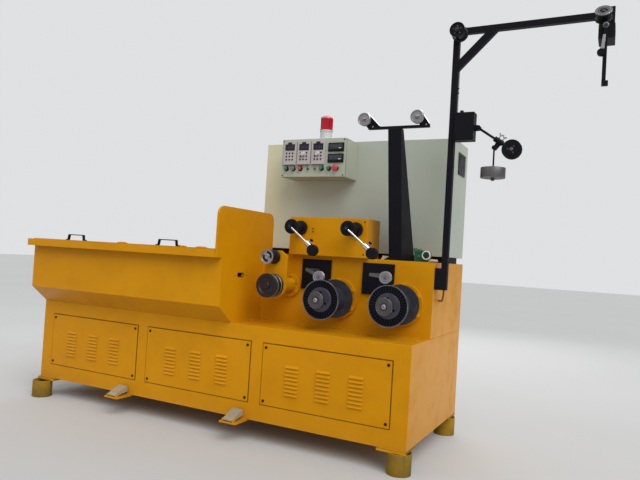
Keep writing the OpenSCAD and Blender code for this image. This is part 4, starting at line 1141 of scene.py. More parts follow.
@dataclass
class DrawGroup(Assembly):
    """The capstan, the guide roller, the tension rollers with their arms, and the traverses."""

    label: str = "capstan and tension group"
    coats: tuple[tuple[str, Finish, float], ...] = (
        ("capstan", Finishes.WORN, 0.0),
        ("guide_roller", Finishes.BLACK_PLASTIC, 0.0),
        *((f"tension_roller_{side}", Finishes.BLACK_PLASTIC, 0.0) for side in SIDES),
        *((f"arm_wheel_{side}", Finishes.BLACK_PLASTIC, 1.5) for side in SIDES),
        *((f"tension_arm_{side}", Finishes.CHROME, 0.0) for side in SIDES),
        *((f"traverse_{side}", Finishes.IRON, 0.8) for side in SIDES),
        *((f"traverse_pulley_{side}", Finishes.ALUMINIUM, 0.0) for side in SIDES),
    )
    guide: tuple[float, float] = (-809.0, 945.0)
    front: float = 27.0
    roller_xs: tuple[float, float] = (-733.0, -409.0)
    roller_z: float = 1110.0
    arm_length: float = 194.0
    arm_slope: float = math.radians(38.0)

    def _arm_end(self, x: float) -> tuple[float, float]:
        """Gives X and Z of an arm's end from the X of its pivot."""
        along, down = math.cos(self.arm_slope), math.sin(self.arm_slope)
        return x + self.arm_length * along, self.roller_z - self.arm_length * down

    def _is_thumb_screw(self, place: Vector, x: float) -> bool:
        """Says whether a face of the arm that turns at x belongs to its thumb screw's head."""
        c, s = math.cos(self.arm_slope), math.sin(self.arm_slope)
        dx, dz = place.x - x, place.z - self.roller_z
        return dx * s + dz * c > 18 and dx * c - dz * s > 100

    def mark(self) -> None:
        """Sets off the capstan's working face, the guide roller's face and the arms' black fittings."""
        low, high = self.front + 3, self.front + 60
        second_finish("capstan", Finishes.DULL, lambda p: low < p.y < high and reach(p, *CAPSTAN) > 58)
        second_finish("guide_roller", Finishes.ALUMINIUM, lambda p: p.y < self.front + 4.6)
        for side, x in zip(SIDES, self.roller_xs):
            end = self._arm_end(x)
            for chosen in (
                lambda p: reach(p, x, self.roller_z) < 16,
                lambda p: self._is_thumb_screw(p, x),
                lambda p: reach(p, *end) < 8 and p.y < 100,
            ):
                second_finish(f"tension_arm_{side}", Finishes.BLACK_PLASTIC, chosen)

    def _pulley_faces(self) -> list[Piece]:
        """Adds the turned rings and the nut on each traverse pulley's face."""
        made = []
        for side in SIDES:
            low, high = span(f"traverse_pulley_{side}")
            center = ((low.x + high.x) / 2, low.y + 0.4, (low.z + high.z) / 2)
            rings = Stock()
            for inner, outer in ((10.0, 13.0), (19.0, 21.0)):
                rings.lathe(center, ((inner - 1, -1), (inner, 1.0), (outer, 1.0), (outer + 1, -1)), 48)
            rings.hex_bolt(center, 10, 15)
            body = Body(f"traverse_pulley_{side}")
            made.append(rings.piece(f"traverse_pulley_{side}_face", Finishes.DULL, angle=30, body=body))
        return made

    def _capstan_face(self) -> list[Piece]:
        """Adds the capstan's centre marks, and the guide roller's hub, rim and thin dark plates painted as
        the shade in its two slots.
        """
        marks, hub, slot_shades = Stock(), Stock(), Stock()
        for spot in around((CAPSTAN[0], self.front, CAPSTAN[1]), 9, 3, 100):
            marks.cap_screw(spot, 3.6)
        x, z = self.guide
        hub.lathe((x, self.front, z), ((11, -1), (11, 1.4), (9.5, 2.2), (6, 2.2), (5, 1), (0, 1)), 32)
        hub.lathe((x, self.front, z), ((37.5, -4), (38, -3), (37.6, 0.8), (35.2, 1), (34.6, -0.6)), 64)
        # Thin black plates in the shape of the two kidney slots: painted shade where the slots are.
        outer, inner, steps = 27.5, 16, 12
        for start in (-20, 160):
            arc = [math.radians(start + 120 * k / steps) for k in range(steps + 1)]
            for a, b in zip(arc, arc[1:]):
                corners = ((outer, a), (inner, a), (inner, b), (outer, b))
                outline = [(r * math.cos(turn), r * math.sin(turn)) for r, turn in corners]
                slot_shades.plate((x, self.front + 3.9, z), outline, 0.3)
        return [
            marks.piece("capstan_screws", Finishes.BLACK_PLASTIC, angle=30, body=Body.CAPSTAN),
            slot_shades.piece("guide_roller_slot_shades", Finishes.BLACK_PLASTIC, body=Body.GUIDE_ROLLER),
            hub.piece("guide_roller_hub", Finishes.ALUMINIUM, angle=30, body=Body.GUIDE_ROLLER),
        ]

    def add(self) -> list[Piece]:
        """Adds the rollers' and pulleys' faces and the end wheels' caps, and returns them."""
        made = self._capstan_face() + self._pulley_faces()
        for side, x in zip(SIDES, self.roller_xs):
            end_x, end_z = self._arm_end(x)
            cap = Stock()
            cap.lathe((end_x, 80, end_z), ((9, 0), (8.5, 1.6), (4, 2.2), (3.5, 1), (0, 1)), 24)
            body = Body(f"arm_wheel_{side}")
            made.append(cap.piece(f"arm_wheel_cap_{side}", Finishes.BLACK_PLASTIC, angle=30, body=body))
        return made


@dataclass
class Column(Assembly):
    """The black column with its cross bar and two dished pulleys."""

    label: str = "column"
    coats: tuple[tuple[str, Finish, float], ...] = (
        ("column", Finishes.BLACK, 3.0),
        ("cross_bar", Finishes.BLACK, 1.0),
        ("bar_pulley_left", Finishes.ALUMINIUM, 0.0),
        ("bar_pulley_right", Finishes.ALUMINIUM, 0.0),
    )
    pulley_xs: tuple[float, float] = (-375.0, -96.0)
    pulley_z: float = 1670.0
    keeper_runs: tuple[float, float] = (67.0, 45.0)
    keeper_drop: float = 67.0

    def add(self) -> list[Piece]:
        """Adds the wire keepers, the pulley bolts and the foot bolts, and returns them."""
        keepers, bolts, feet = Stock(), Stock(), Stock()
        for x, run in zip(self.pulley_xs, self.keeper_runs):
            length = math.hypot(self.keeper_drop, run)
            u = Vector((run / length, 0, -self.keeper_drop / length))
            n = Vector((self.keeper_drop / length, 0, run / length))
            start = Vector((x + 15, 188, self.pulley_z + 33)) + n * 0.1 - u * 6
            keepers.plate(tuple(start), oblong(length + 4, 18), -2.0, u, BACK)
            bolts.hex_bolt((x, 167.6, self.pulley_z), 14, 12)
            bolts.cap_screw((x + 44, 192, self.pulley_z - 38), 5)
        for edge, x, way in ((-246, -260, -1), (-176, -162, 1)):
            for y in (330, 480):
                feet.plate((edge, y - 14, RIM_Z), oblong(28, 28), 6.0 * way, RIGHT * way, BACK)
                feet.hex_bolt((x, y, RIM_Z + 6), 13, y, UP)
        return [
            keepers.piece("wire_keepers", Finishes.CHROME, 0.4),
            bolts.piece("bar_pulley_bolts", Finishes.ZINC, angle=30),
            feet.piece("column_foot_bolts", Finishes.BLACK, angle=30),
        ]


@dataclass
class Mast(Assembly):
    """The mast, jib, its two rollers, the hanging arm and the weighted dancer arm."""

    label: str = "mast and jib"
    coats: tuple[tuple[str, Finish, float], ...] = (
        ("mast", Finishes.BLACK, 2.0),
        ("jib", Finishes.BLACK, 2.0),
        ("dancer_box", Finishes.BLACK, 1.5),
        ("head_arm", Finishes.BLACK, 1.0),
        ("jib_head", Finishes.BLACK, 1.2),
        ("mast_wheel", Finishes.BLACK_PLASTIC, 0.0),
        ("head_pulley", Finishes.BLACK_PLASTIC, 0.0),
        ("dancer_arm", Finishes.BLACK, 0.0),
        ("dancer_pulley", Finishes.BLACK_PLASTIC, 0.0),
        ("weight_hanger", Finishes.IRON, 1.5),
    )
    roller: Point = (65.0, 222.0, 2097.0)
    head: Point = (706.0, 267.0, 2083.7)
    tilt: float = math.radians(33.0)
    arm_pin: tuple[float, float] = (719.0, 2034.0)
    dancer: Point = (173.0, 315.0, 1632.0)
    slope: float = math.radians(34.5)
    arm: float = 201.0
    hanger: float = 127.0
    weight_drop: float = 98.0

    def mark(self) -> None:
        """Sets off the tilted pulley's face and the hanger's black rod over its weight."""
        normal = self._tilted()
        weight_top = self.dancer[2] - math.sin(self.slope) * self.hanger - 31 - self.weight_drop + 1
        second_finish("head_pulley", Finishes.DULL, lambda p: (p - Vector(self.head)).dot(normal) > 42.5)
        second_finish("weight_hanger", Finishes.BLACK, lambda p: p.z > weight_top)

    def _tilted(self) -> Vector:
        """Gives the direction of the tilted pulley's axis, towards the front."""
        return Vector((0, -math.cos(self.tilt), math.sin(self.tilt)))

    def _wheel_faces(self) -> list[Piece]:
        """Adds the small screws of the mast's wheel and the turned rings of the tilted pulley."""
        x, y, z = self.roller
        marks, edge, dark, pale = Stock(), Stock(), Stock(), Stock()
        for spot in around((x, y + 5, z), 19, 5, 20):
            marks.cap_screw(spot, 3.0)
        edge.lathe((x, y + 1, z), ((34, -0.6), (34.4, 0.3), (35.8, 0.3), (36.2, -0.6)), 64)
        normal = self._tilted()
        face = tuple(Vector(self.head) + normal * 45)
        for stock, profile in (
            (dark, ((19, -0.6), (19.3, 0.25), (23.6, 0.25), (24, -0.6))),
            (dark, ((30, -0.6), (30.3, 0.25), (31.6, 0.25), (32, -0.6))),
            (pale, ((34.2, -2.4), (33.6, -0.3), (32.6, 0.3), (32.2, -0.6))),
        ):
            stock.lathe(face, profile, 64, axis=normal)
        return [
            marks.piece("mast_wheel_screws", Finishes.DULL, angle=30, body=Body.MAST_WHEEL),
            edge.piece("mast_wheel_edge", Finishes.DARK_STEEL, angle=50, body=Body.MAST_WHEEL),
            dark.piece("head_pulley_grooves", Finishes.DARK_STEEL, angle=50, body=Body.HEAD_PULLEY),
            pale.piece("head_pulley_edge", Finishes.STEEL, angle=50, body=Body.HEAD_PULLEY),
        ]

    def _hanging_arm(self) -> list[Piece]:
        """Adds the bare strip and the ring of the arm that hangs from the jib's head."""
        x, z = self.arm_pin
        strip, collar = Stock(), Stock()
        strip.plate((x, 204.6, z), ((-9.5, -42), (1.5, -42), (-2, -104), (-17, -104)), 1.2)
        collar.lathe((x, 211, z), ((8, 0), (12.6, 0.3), (12.6, 2.4), (11, 3.2), (8, 3.2)), 32)
        return [
            strip.piece("hanging_arm_strip", Finishes.ALUMINIUM, 0.3, body=Body.HEAD_ARM),
            collar.piece("hanging_arm_ring", Finishes.DULL, angle=30, body=Body.HEAD_ARM),
        ]

    def _dancer(self) -> list[Piece]:
        """Adds the dancer arm's thumb screws, pulley fittings and pivot bolt."""
        c, s = math.cos(self.slope), math.sin(self.slope)
        u, n = Vector((c, 0, -s)), Vector((s, 0, c))
        pivot = Vector(self.dancer)
        stems, grips, bolt, face, pin = Stock(), Stock(), Stock(), Stock(), Stock()
        wing = ((-1, 0), (4, -1), (10, 6), (11, 12), (7, 13), (2, 7), (-1, 6))
        for along in (112, 133):
            base = pivot + u * along + n * 12.4
            stems.lathe(tuple(base), ((5.5, 0), (5.5, 3), (3, 3.6), (3, 14), (0, 14)), 14, axis=n)
            for way in (-1, 1):
                grips.plate(tuple(base + n * 12 - Vector((0, 1.3, 0))), wing, -2.6 * way, u * way, n)
        tip = pivot + u * self.arm
        front = span("dancer_pulley")[0].y
        bolt.hex_bolt((tip.x, front + 0.5, tip.z), 12, 20)
        for spot in around((tip.x, front + 1.2, tip.z), 17, 3, 55):
            bolt.cap_screw(spot, 3.2)
        lip = ((23, -1), (23, 1.2), (25, 1.8), (27, 1.8), (28, 1.0), (28, -1))
        face.lathe((tip.x, front + 2, tip.z), lip, 48)
        pin.hex_bolt((pivot.x, 300, pivot.z), 11, 20)
        pin.hex_bolt((pivot.x, 330, pivot.z), 11, 5, BACK)
        return [
            stems.piece("dancer_screw_stems", Finishes.STEEL, angle=30, body=Body.DANCER_ARM),
            grips.piece("dancer_screw_wings", Finishes.STEEL, 0.6, body=Body.DANCER_ARM),
            bolt.piece("dancer_pulley_bolt", Finishes.DULL, angle=30, body=Body.DANCER_PULLEY),
            face.piece("dancer_pulley_ring", Finishes.BLACK_PLASTIC, angle=30, body=Body.DANCER_PULLEY),
            pin.piece("dancer_pivot_bolt", Finishes.BLACK, angle=30),
        ]

    def add(self) -> list[Piece]:
        """Adds roller bolts, clamps, ties, thumb screws and the hanging arm's fittings, and returns them."""
        bolts, mast, ties, box = Stock(), Stock(), Stock(), Stock()
        bolts.hex_bolt(self.roller, 17, 8)
        normal = self._tilted()
        tip = tuple(Vector(self.head) + normal * 38.5)
        bolts.lathe(tip, ((12.5, 0), (12.5, 2), (9, 3), (8.5, 7), (7, 8), (0, 8)), 24, axis=normal)
        bolts.lathe((self.arm_pin[0], 207, self.arm_pin[1]), ((7, -2), (7, 2), (5.5, 3), (0, 3)), 20)
        for x, z in ((7, 850), (7, 920), (23, 850), (23, 920)):
            mast.hex_bolt((x, 300, z), 10, x)
        for x, z in ((42, 2074), (88, 2122), (48, 2122)):
            mast.cap_screw((x, 293, z), 5)
        for z in (1812, 1835):
            ties.lathe((63.3, 320, z), ((3.1, -3), (4.3, -2.6), (4.3, 2.6), (3.1, 3)), 20, axis=UP)
        box.screw_grid((68, 147), 285, (1578, 1699), 4)
        return [
            bolts.piece("roller_bolts", Finishes.DARK_STEEL, angle=30),
            mast.piece("mast_bolts", Finishes.BLACK, angle=30),
            *self._hanging_arm(),
            *self._wheel_faces(),
            ties.piece("lead_ties", Finishes.BLACK_PLASTIC, angle=40),
            box.piece("dancer_box_screws", Finishes.BLACK, angle=30),
            *self._dancer(),
        ]


class Control(Enum):
    """Kinds of control in the row under the keypads."""

    PUSH_GREEN = "push_green"
    PUSH_RED = "push_red"
    SELECTOR = "selector"
    TOGGLE = "toggle"
    MUSHROOM = "mushroom"


@dataclass
class ControlBox(Assembly):
    """The electrical cabinet with its vent, control box and beacon."""

    label: str = "controls"
    coats: tuple[tuple[str, Finish, float], ...] = (
        ("electrical_cabinet", Finishes.CABINET, 2.0),
        ("cabinet_plinth", Finishes.BLACK, 1.5),
        ("side_vent", Finishes.BLACK_PLASTIC, 1.0),
        ("control_box", Finishes.CONTROL, 2.0),
        ("keypads", Finishes.BEZEL, 1.5),
        ("panel_meters", Finishes.BLACK_PLASTIC, 2.0),
        ("push_buttons", Finishes.BLACK_PLASTIC, 0.0),
        ("beacon_base", Finishes.WHITE, 0.8),
        ("beacon_dome", Finishes.RED_LENS, 0.0),
    )
    left: float = -980.0
    right: float = -573.0
    face: float = 402.0
    low: float = 1412.0
    high: float = 1631.0
    beacon: tuple[float, float] = (-742.0, 487.0)
    row: tuple[Control, ...] = (
        Control.PUSH_GREEN, Control.SELECTOR, Control.PUSH_RED, Control.TOGGLE,
        Control.TOGGLE, Control.PUSH_GREEN, Control.PUSH_GREEN, Control.MUSHROOM,
    )

    def _keypads(self) -> list[Piece]:
        """Adds the screens, keys and knobs of the three keypads, and a dark strip under each, painted as its
        shadow.
        """
        screens, keys, knobs, digits, shadow_strips = Stock(), Stock(), Stock(), Stock(), Stock()
        screen = ((11, 84), (74, 84), (74, 121), (56, 121), (53, 132), (30, 132), (27, 121), (11, 121))
        knob = ((13.5, 0), (13.5, 3), (12, 5), (11.5, 15), (10.5, 17), (0, 17.4))
        y, z0 = self.face - 10, self.low + 68
        for i in range(3):
            x0 = self.left + 14 + i * 92
            screens.plate((x0, y, z0), screen, 1.6)
            # A dark strip along each keypad's lower edge: painted shadow.
            shadow_strips.plate((x0 + 3, y + 0.5, z0 - 1.5), oblong(78, 3.4), 4.0)
            for k in range(4):
                self._digit(digits, (x0 + 27 + k * 10.5, y - 1.65, z0 + 96), 3 * i + k)
            for row in range(3):
                for col in range(3):
                    spot = (x0 + 21 + col * 20, y, z0 + 69 - row * 19)
                    keys.lathe(spot, ((6.3, 0), (6.3, 1.6), (5.2, 2.6), (0, 2.8)), 4, 45)
            if i > 0:
                knobs.lathe((x0 + 40, y, z0 + 62), knob, 28)
                knobs.plate((x0 + 39, y - 17.2, z0 + 62), oblong(2, 9), 0.8)
        return [
            screens.piece("keypad_screens", Finishes.SCREEN, 0.4),
            digits.piece("keypad_digits", Finishes.DIGIT),
            keys.piece("keypad_keys", Finishes.KEY, angle=40),
            knobs.piece("keypad_knobs", Finishes.KNOB_PALE, angle=40),
            shadow_strips.piece("keypad_painted_shadow_lines", Finishes.KEY, 0.5),
        ]

    @staticmethod
    def _digit(stock: Stock, corner: Point, value: int, high: float = 11.0) -> None:
        """Adds one seven-bar digit of a display.

        Args:
            stock: Stock that takes the bars.
            corner: Lower left corner of the digit.
            value: The digit.
            high: Height of the digit.
        """
        wide, bar = high * 0.52, high * 0.11
        half, inset = high / 2, bar * 0.25
        table = ("abcdef", "bc", "abged", "abgcd", "fgbc", "afgcd", "afgedc", "abc", "abcdefg", "abcdfg")
        bars = {
            "a": (0, high - bar, wide, high), "b": (wide - bar, half, wide, high),
            "c": (wide - bar, 0, wide, half), "d": (0, 0, wide, bar), "e": (0, 0, bar, half),
            "f": (0, half, bar, high), "g": (0, half - bar / 2, wide, half + bar / 2),
        }
        for key in table[value % 10]:
            x0, z0, x1, z1 = bars[key]
            outline = oblong(x1 - x0 - 2 * inset, z1 - z0 - 2 * inset, x0 + inset, z0 + inset)
            stock.plate(corner, outline, 0.3)

    def _meters(self) -> list[Piece]:
        """Adds the windows, digits and small keys of the two panel meters, and a painted glint on each
        window.
        """
        windows, digits, keys, painted_glints = Stock(), Stock(), Stock(), Stock()
        x0, y = self.right - 105, self.face - 8
        for n, z0 in enumerate((self.low + 79, self.low + 141)):
            windows.plate((x0, y, z0), oblong(82, 29, 7, 15), 0.8)
            for k in range(4):
                self._digit(digits, (x0 + 18 + k * 14, y - 0.85, z0 + 23), n * 4 + k, 15)
            for k in range(3):
                keys.plate((x0 + 12 + k * 16, y, z0 + 5), oblong(9, 5), 1.2)
            # A pale glowing mark at each window's lower right: a painted glint on the glass.
            painted_glints.plate((x0 + 66, y - 0.7, z0 + 17), oblong(15, 5), 0.5)
        return [
            windows.piece("meter_windows", Finishes.WINDOW, 0.3),
            digits.piece("meter_digits", Finishes.DIGIT),
            keys.piece("meter_keys", Finishes.KEY, 0.3),
            painted_glints.piece("meter_painted_glints", Finishes.PAINTED_GLINT),
        ]

    def _buttons(self) -> list[Piece]:
        """Adds the caps, levers and rings of the row of controls."""
        green, red, grey, lever = Stock(), Stock(), Stock(), Stock()
        cap = ((10.4, -0.5), (10.4, 3), (9.4, 4), (6, 4.6), (0, 4.8))
        mushroom = ((9, -1), (9, 5), (17, 6), (18.5, 8), (18, 11), (14, 15), (8, 17), (0, 17.6))
        handle = ((2.4, 0), (3.2, 9), (4.2, 18), (3.4, 21), (0, 21.6))
        z, y = self.low + 47, self.face - 16
        for i, kind in enumerate(self.row):
            x = self.left + 37 + i * (self.right - self.left - 87) / 7
            if kind is Control.PUSH_GREEN:
                green.lathe((x, y, z), cap, 28)
            elif kind is Control.PUSH_RED:
                red.lathe((x, y, z), cap, 28)
            elif kind is Control.SELECTOR:
                grey.lathe((x, y, z), ((12.5, 0), (12.5, 4), (11, 5), (0, 5)), 28)
                bar = oblong(6.4, 22, -3.2, -11)
                grey.plate((x, y - 5, z), bar, 9.0, Vector((0.94, 0, 0.34)), Vector((-0.34, 0, 0.94)))
            elif kind is Control.TOGGLE:
                lever.lathe((x, self.face, z), ((7, 0), (7, 2), (4.6, 2.6), (4.6, 6), (0, 6)), 6, 15)
                lever.lathe((x, self.face - 5, z), handle, 14, axis=Vector((0.72, -0.55, -0.42)))
            else:
                red.lathe((x, y, z), mushroom, 36)
        return [
            green.piece("button_caps_green", Finishes.CAP_GREEN, angle=40),
            red.piece("button_caps_red", Finishes.CAP_RED, angle=40),
            grey.piece("selector_switch", Finishes.CAP_GREY, 0.5),
            lever.piece("toggle_switches", Finishes.LEVER, angle=40),
        ]

    def _housing(self) -> list[Piece]:
        """Adds the lid's screws, dark strips along the lid's seam painted as the shade in its gap, and the
        vent's blades.
        """
        screws, seam, blades = Stock(), Stock(), Stock()
        left, right, low, high = self.left, self.right, self.low, self.high
        screws.screw_grid((left + 9, right - 9), self.face, (low + 9, high - 9), 4.0)
        y0, y1 = self.face + 12, self.face + 14
        # Dark strips along the lid's seam: painted shade of the gap.
        seam.block((right - 0.5, y0, low + 1), (right + 0.7, y1, high - 1))
        seam.block((left - 0.7, y0, low + 1), (left + 0.5, y1, high - 1))
        seam.block((left + 1, y0, high - 0.5), (right - 1, y1, high + 0.7))
        seam.block((left + 1, y0, low - 0.7), (right - 1, y1, low + 0.5))
        vent_low, vent_high = span("side_vent")
        wide, tall = vent_high.y - vent_low.y - 16, vent_high.z - vent_low.z - 20
        for k in range(8):
            spot = (vent_high.x - 0.5, vent_low.y + 8, vent_low.z + 10 + k * tall / 7.5)
            blades.plate(spot, oblong(wide, 8), 1.4, BACK, Vector((0.55, 0, 0.83)))
        return [
            screws.piece("control_box_screws", Finishes.DARK_SCREW, angle=30),
            seam.piece("control_box_seam_shade", Finishes.GAP_SHADE),
            blades.piece("vent_blades", Finishes.BLACK_PLASTIC),
        ]

    def _beacon(self) -> list[Piece]:
        """Adds the ribs, the rim with its painted highlight and the foot ring of the dome, and the collar
        under it.
        """
        bx, by = self.beacon
        low, high = span("beacon_dome")
        r, tall, count = (high.x - low.x) / 2, high.z - low.z - 30, 28
        ribs, rim, foot, band = Stock(), Stock(), Stock(), Stock()
        for k in range(count):
            a = math.tau * k / count
            side = Vector((math.cos(a), math.sin(a), 0))
            spot = (bx + side.x * (r - 3.4), by + side.y * (r - 3.4), low.z + 12)
            ribs.plate(spot, ((-1.1, 0), (1.1, 0), (0.9, tall), (-0.9, tall)), -2.2, side.cross(UP))
        crown = ((r - 3, -17), (r + 0.4, -16), (r + 0.6, -9), (r - 1, -5.5), (r - 5, -3.6), (r - 9, -4))
        for stock, z, profile in (
            (rim, high.z, crown),
            (foot, low.z, ((r - 0.5, 0.5), (r + 0.9, 0.8), (r + 0.9, 7), (r - 0.5, 8))),
            (band, low.z, ((r, -7), (r + 1.4, -6.4), (r + 1.6, -1.2), (r + 0.4, -0.4), (r - 1, -0.4))),
        ):
            stock.lathe((bx, by, z), profile, 56, axis=UP)
        return [
            ribs.piece("beacon_lens_ribs", Finishes.RED_LENS, 0.3),
            # The rim's rounded shape is real; its pale pink finish is a painted highlight.
            rim.piece("beacon_lens_rim", Finishes.RED_RIM_HIGHLIGHT, angle=50),
            foot.piece("beacon_lens_foot", Finishes.RED_LENS, angle=40),
            band.piece("beacon_collar", Finishes.WHITE, angle=40),
        ]

    def add(self) -> list[Piece]:
        """Adds everything on the control box's face and the housings, and returns it."""
        return self._keypads() + self._meters() + self._buttons() + self._housing() + self._beacon()


@dataclass
class OilValve(Assembly):
    """The green valve on the headstock with its ringed knob and short pipe."""

    label: str = "oil valve"
    coats: tuple[tuple[str, Finish, float], ...] = (("oil_valve", Finishes.GREEN, 1.5),)
    knob: Point = (-50.0, 304.0, RIM_Z + 34)
    casting_y: float = 318.0
    pipe_y: float = 340.0

    def add(self) -> list[Piece]:
        """Adds the knob's ring, a black disc painted as the shade between its lobes, the lobes, the casting's
        fins and the pipe stub, and returns them.
        """
        ring, lobe_shade, lobes, fins, pipe = Stock(), Stock(), Stock(), Stock(), Stock()
        lip = ((16.4, -1), (21.4, -3), (22.6, -1), (22.6, 2.4), (21, 4.4), (17.6, 4.4), (16.4, 0))
        ring.lathe(self.knob, lip, 40)
        # A black disc behind the green lobes: painted shade between them.
        lobe_shade.lathe(self.knob, ((17.2, -0.6), (17.2, 0.5), (0, 0.5)), 40)
        for spot in around(self.knob, 10.5, 5, math.degrees(0.3)):
            lobes.lathe(spot, ((4.2, -0.5), (4.2, 3), (3.2, 4.4), (0, 4.8)), 16)
        lobes.lathe(self.knob, ((3.4, -0.5), (3.4, 5), (2.6, 6), (0, 6)), 16)
        for k, (x, lean) in enumerate(((-116, -7.0), (-101, -2.0), (-86, 3.0))):
            shoulder, top = 62 - 3 * k, 70 - 5 * k
            outline = ((0, 40), (11, 40), (11 + lean, shoulder), (5 + lean, top), (lean, shoulder))
            fins.plate((x, self.casting_y, RIM_Z), outline, -44.0)
        fins.lathe((-94, self.casting_y, RIM_Z + 24), ((10, -2), (10, 5), (7, 7), (0, 7)), 20)
        y, z = self.pipe_y, RIM_Z + 9
        pipe.sweep(((-46, y, z), (-30, y, z), (-12, y, z), (-1, y, z - 0.4)), 7.0, 18)
        pipe.lathe((-46, y, z), ((8.6, -1), (8.8, 9), (6.5, 9.4)), 6, axis=RIGHT)
        return [
            ring.piece("valve_knob_ring", Finishes.PALE_STEEL, angle=40),
            lobe_shade.piece("valve_knob_lobe_shade", Finishes.BLACK_PLASTIC, angle=40),
            lobes.piece("valve_knob_lobes", Finishes.GREEN, angle=40),
            fins.piece("valve_fins", Finishes.GREEN, 1.5),
            pipe.piece("oil_pipe_stub", Finishes.CREAM, angle=40),
        ]


@dataclass
class Leads(Assembly):
    """The two thin leads on the mast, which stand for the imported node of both."""

    label: str = "mast leads"

    @staticmethod
    def _curve(name: str, points: Sequence[Point], radius: float, finish: Finish) -> Piece:
        """Makes a lead as one smooth open curve.

        Args:
            name: Name of the piece.
            points: Places that its middle follows.
            radius: Radius in millimetres.
            finish: Its finish.

        Returns:
            The curve piece.
        """
        data = bpy.data.curves.new(name, "CURVE")
        data.dimensions = "3D"
        data.bevel_depth = radius * 0.001
        data.bevel_resolution = 5
        data.use_fill_caps = True
        spline = data.splines.new("POLY")
        spline.points.add(len(points) - 1)
        for knot, place in zip(spline.points, points):
            knot.co = (*at(*place), 1.0)
        data.materials.append(finish.build())
        piece = bpy.data.objects.new(name, data)
        bpy.context.scene.collection.objects.link(piece)
        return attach(piece, Body.FRAME.value)

    @staticmethod
    def _length(points: Sequence[Point]) -> float:
        """Gives the length of a route in metres."""
        return sum((Vector(b) - Vector(a)).length for a, b in zip(points, points[1:])) * 0.001

    @staticmethod
    def _brown_route() -> list[Point]:
        """Gives the brown lead's way: down from the mast, through a bend and off to the rear."""
        x, y, low, bend = 45, 315, 824, 50
        turn = math.radians(117)
        side = Vector((math.cos(turn), math.sin(turn)))
        route = [(45.0, 315.0, 832.0), (45.0, 315.0, 828.0)]
        for k in range(1, 15):
            a = math.radians(90 * k / 14)
            out, down = bend * (1 - math.cos(a)), bend * math.sin(a)
            route.append((x + side.x * out, y + side.y * out, low - down))
        end = 45 / math.cos(math.pi - turn) - 0.5
        for k in range(1, 6):
            out = bend + (end - bend) * k / 5
            route.append((x + side.x * out, y + side.y * out, low - bend))
        return route

    def add(self) -> list[Piece]:
        grey = [(63.3, 320, 1707 + 213 * k / 16) for k in range(17)]
        upper = self._curve("grey_lead", grey, 3.0, Finishes.GREY_LEAD)
        brown = self._brown_route()
        lower = self._curve("brown_lead", brown, 4.5, Finishes.BROWN_LEAD)
        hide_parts("mast_leads")
        return [upper, lower]


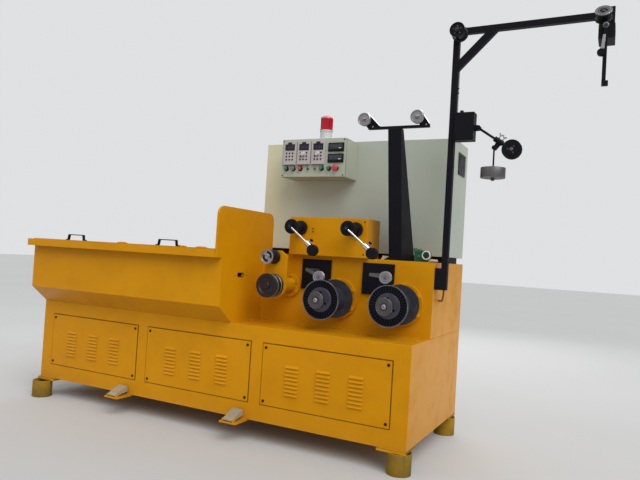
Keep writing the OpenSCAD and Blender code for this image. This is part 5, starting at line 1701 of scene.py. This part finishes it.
@dataclass
class Studio:
    """Camera, floor and light. Angles are in degrees and the focal length in pixels."""

    place: Point = (1.6478, -2.9563, 0.962)
    yaw: float = 26.90
    pitch: float = 1.56
    roll: float = 3.47
    focal: float = 598.2
    width: int = 640
    floor_half: float = 30.0
    floor_color: Rgb = (0.53, 0.525, 0.515)
    sky_color: Rgb = (0.92, 0.96, 1.0)
    sky_strength: float = 0.58
    backdrop: Rgb = (0.74, 0.75, 0.76)

    @staticmethod
    def _link(name: str, data: bpy.types.ID) -> Piece:
        """Puts an object with the given data into the scene and returns it."""
        made = bpy.data.objects.new(name, data)
        bpy.context.scene.collection.objects.link(made)
        return made

    def camera(self) -> None:
        """Sets up the camera at the photograph's angle."""
        yaw, pitch, roll = (math.radians(v) for v in (self.yaw, self.pitch, self.roll))
        ahead = Vector((-math.sin(yaw) * math.cos(pitch), math.cos(yaw) * math.cos(pitch), math.sin(pitch)))
        right = Vector((math.cos(yaw), math.sin(yaw), 0.0))
        up = right.cross(ahead)
        level, tilted = math.cos(roll), math.sin(roll)
        across, upward = right * level + up * tilted, up * level - right * tilted
        data = bpy.data.cameras.new("camera")
        data.sensor_width = 36.0
        data.lens = self.focal / self.width * data.sensor_width
        data.clip_end = 200.0
        basis = Matrix((across, upward, -ahead)).transposed().to_4x4()
        basis.translation = Vector(self.place)
        camera = self._link("camera", data)
        camera.matrix_world = basis
        bpy.context.scene.camera = camera

    def floor(self) -> None:
        """Lays a wide pale floor."""
        half = self.floor_half
        stock = Stock()
        corners = ((-half, -half), (half, -half), (half, half), (-half, half))
        stock.mesh.faces.new(stock.ring(Vector((x, y, 0.0)) for x, y in corners))
        data = bpy.data.meshes.new("studio_floor")
        stock.mesh.to_mesh(data)
        stock.mesh.free()
        material = bpy.data.materials.new("studio_floor_grey")
        material.use_nodes = True
        desk = Desk(material.node_tree)
        cloud = desk.cloud(desk.place(), 0.7, 6.0, 0.6, 0.3, 0.75)
        tone = desk.mix(cloud, self.floor_color, tuple(c * 0.97 for c in self.floor_color))
        desk.feed(material.node_tree.nodes["Principled BSDF"], {"Base Color": tone, "Roughness": 0.9})
        data.materials.append(material)
        self._link("studio_floor", data)

    def lamp(self, name: str, place: Point, aim: Point, size: float, power: float) -> None:
        """Hangs a soft square lamp.

        Args:
            name: Name of the lamp.
            place: Where it hangs, in metres.
            aim: Where it points.
            size: Side of the lamp in metres.
            power: Power in watts.
        """
        data = bpy.data.lights.new(name, "AREA")
        data.shape = "SQUARE"
        data.size = size
        data.energy = power
        lamp = self._link(name, data)
        lamp.location = place
        lamp.rotation_euler = (Vector(aim) - Vector(place)).to_track_quat("-Z", "Y").to_euler()

    def sun(self, name: str, place: Point, spread: float, strength: float) -> None:
        """Adds an even, very soft light from far away.

        Args:
            name: Name of the lamp.
            place: Direction that it comes from.
            spread: Angle that it fills, in degrees.
            strength: Strength of the light.
        """
        data = bpy.data.lights.new(name, "SUN")
        data.angle = math.radians(spread)
        data.energy = strength
        self._link(name, data).rotation_euler = (-Vector(place)).to_track_quat("-Z", "Y").to_euler()

    def world(self) -> None:
        """Lights the object from a pale sky, with a plain backdrop and a graded one for mirrors."""
        world = bpy.data.worlds.new("pale_sky")
        bpy.context.scene.world = world
        world.use_nodes = True
        world.node_tree.nodes.clear()
        desk = Desk(world.node_tree)
        path = desk.add("ShaderNodeLightPath").outputs
        seen = desk.math("MAXIMUM", path["Is Camera Ray"], path["Is Transmission Ray"])
        ways = desk.split(desk.add("ShaderNodeTexCoord").outputs["Generated"])
        behind = desk.ramp(ways[1], -0.75, 0.25, 0.28, 0.48)
        above = desk.ramp(ways[2], 0.05, 0.7, 0.0, 0.95)
        beside = desk.ramp(ways[0], 0.1, 0.8, 1.0, 0.45)
        glow = desk.times(desk.plus(behind, above), beside)
        skies = ((self.sky_color, self.sky_strength), (self.backdrop, glow), (self.backdrop, 1.0))
        light, mirror, shown = (
            desk.put("ShaderNodeBackground", {"Color": color, "Strength": strength})
            for color, strength in skies
        )
        unseen = desk.put("ShaderNodeMixShader", {0: path["Is Glossy Ray"], 1: light, 2: mirror})
        surface = desk.put("ShaderNodeMixShader", {0: seen, 1: unseen, 2: shown})
        desk.feed(desk.add("ShaderNodeOutputWorld"), {"Surface": surface})

    def build(self) -> None:
        """Sets up the whole studio."""
        bpy.context.scene.view_settings.view_transform = "Standard"
        self.camera()
        self.floor()
        self.sun("sky_key", (0.9, -0.75, 1.15), 50.0, 2.25)
        self.lamp("sky_fill", (-3.6, -3.0, 3.6), (-0.3, 0.0, 0.8), 4.0, 12.0)
        self.lamp("sky_back", (-0.6, 4.4, 3.6), (-0.3, 0.2, 0.9), 4.0, 80.0)
        self.world()


def main() -> None:
    """Builds the studio and every assembly in order."""
    Studio().build()
    for assembly in (
        Leads(), BaseCabinet(), WaterTank(), Headstock(), TakeUp(), DrawGroup(),
        Column(), Mast(), ControlBox(), OilValve(),
    ):
        assembly.dress()
        pieces = assembly.add()
        LOG.info("%s: %d added pieces", assembly.label, len(pieces))


if __name__ == "__main__":
    logging.basicConfig(level=logging.INFO, format="%(name)s: %(message)s")
    main()
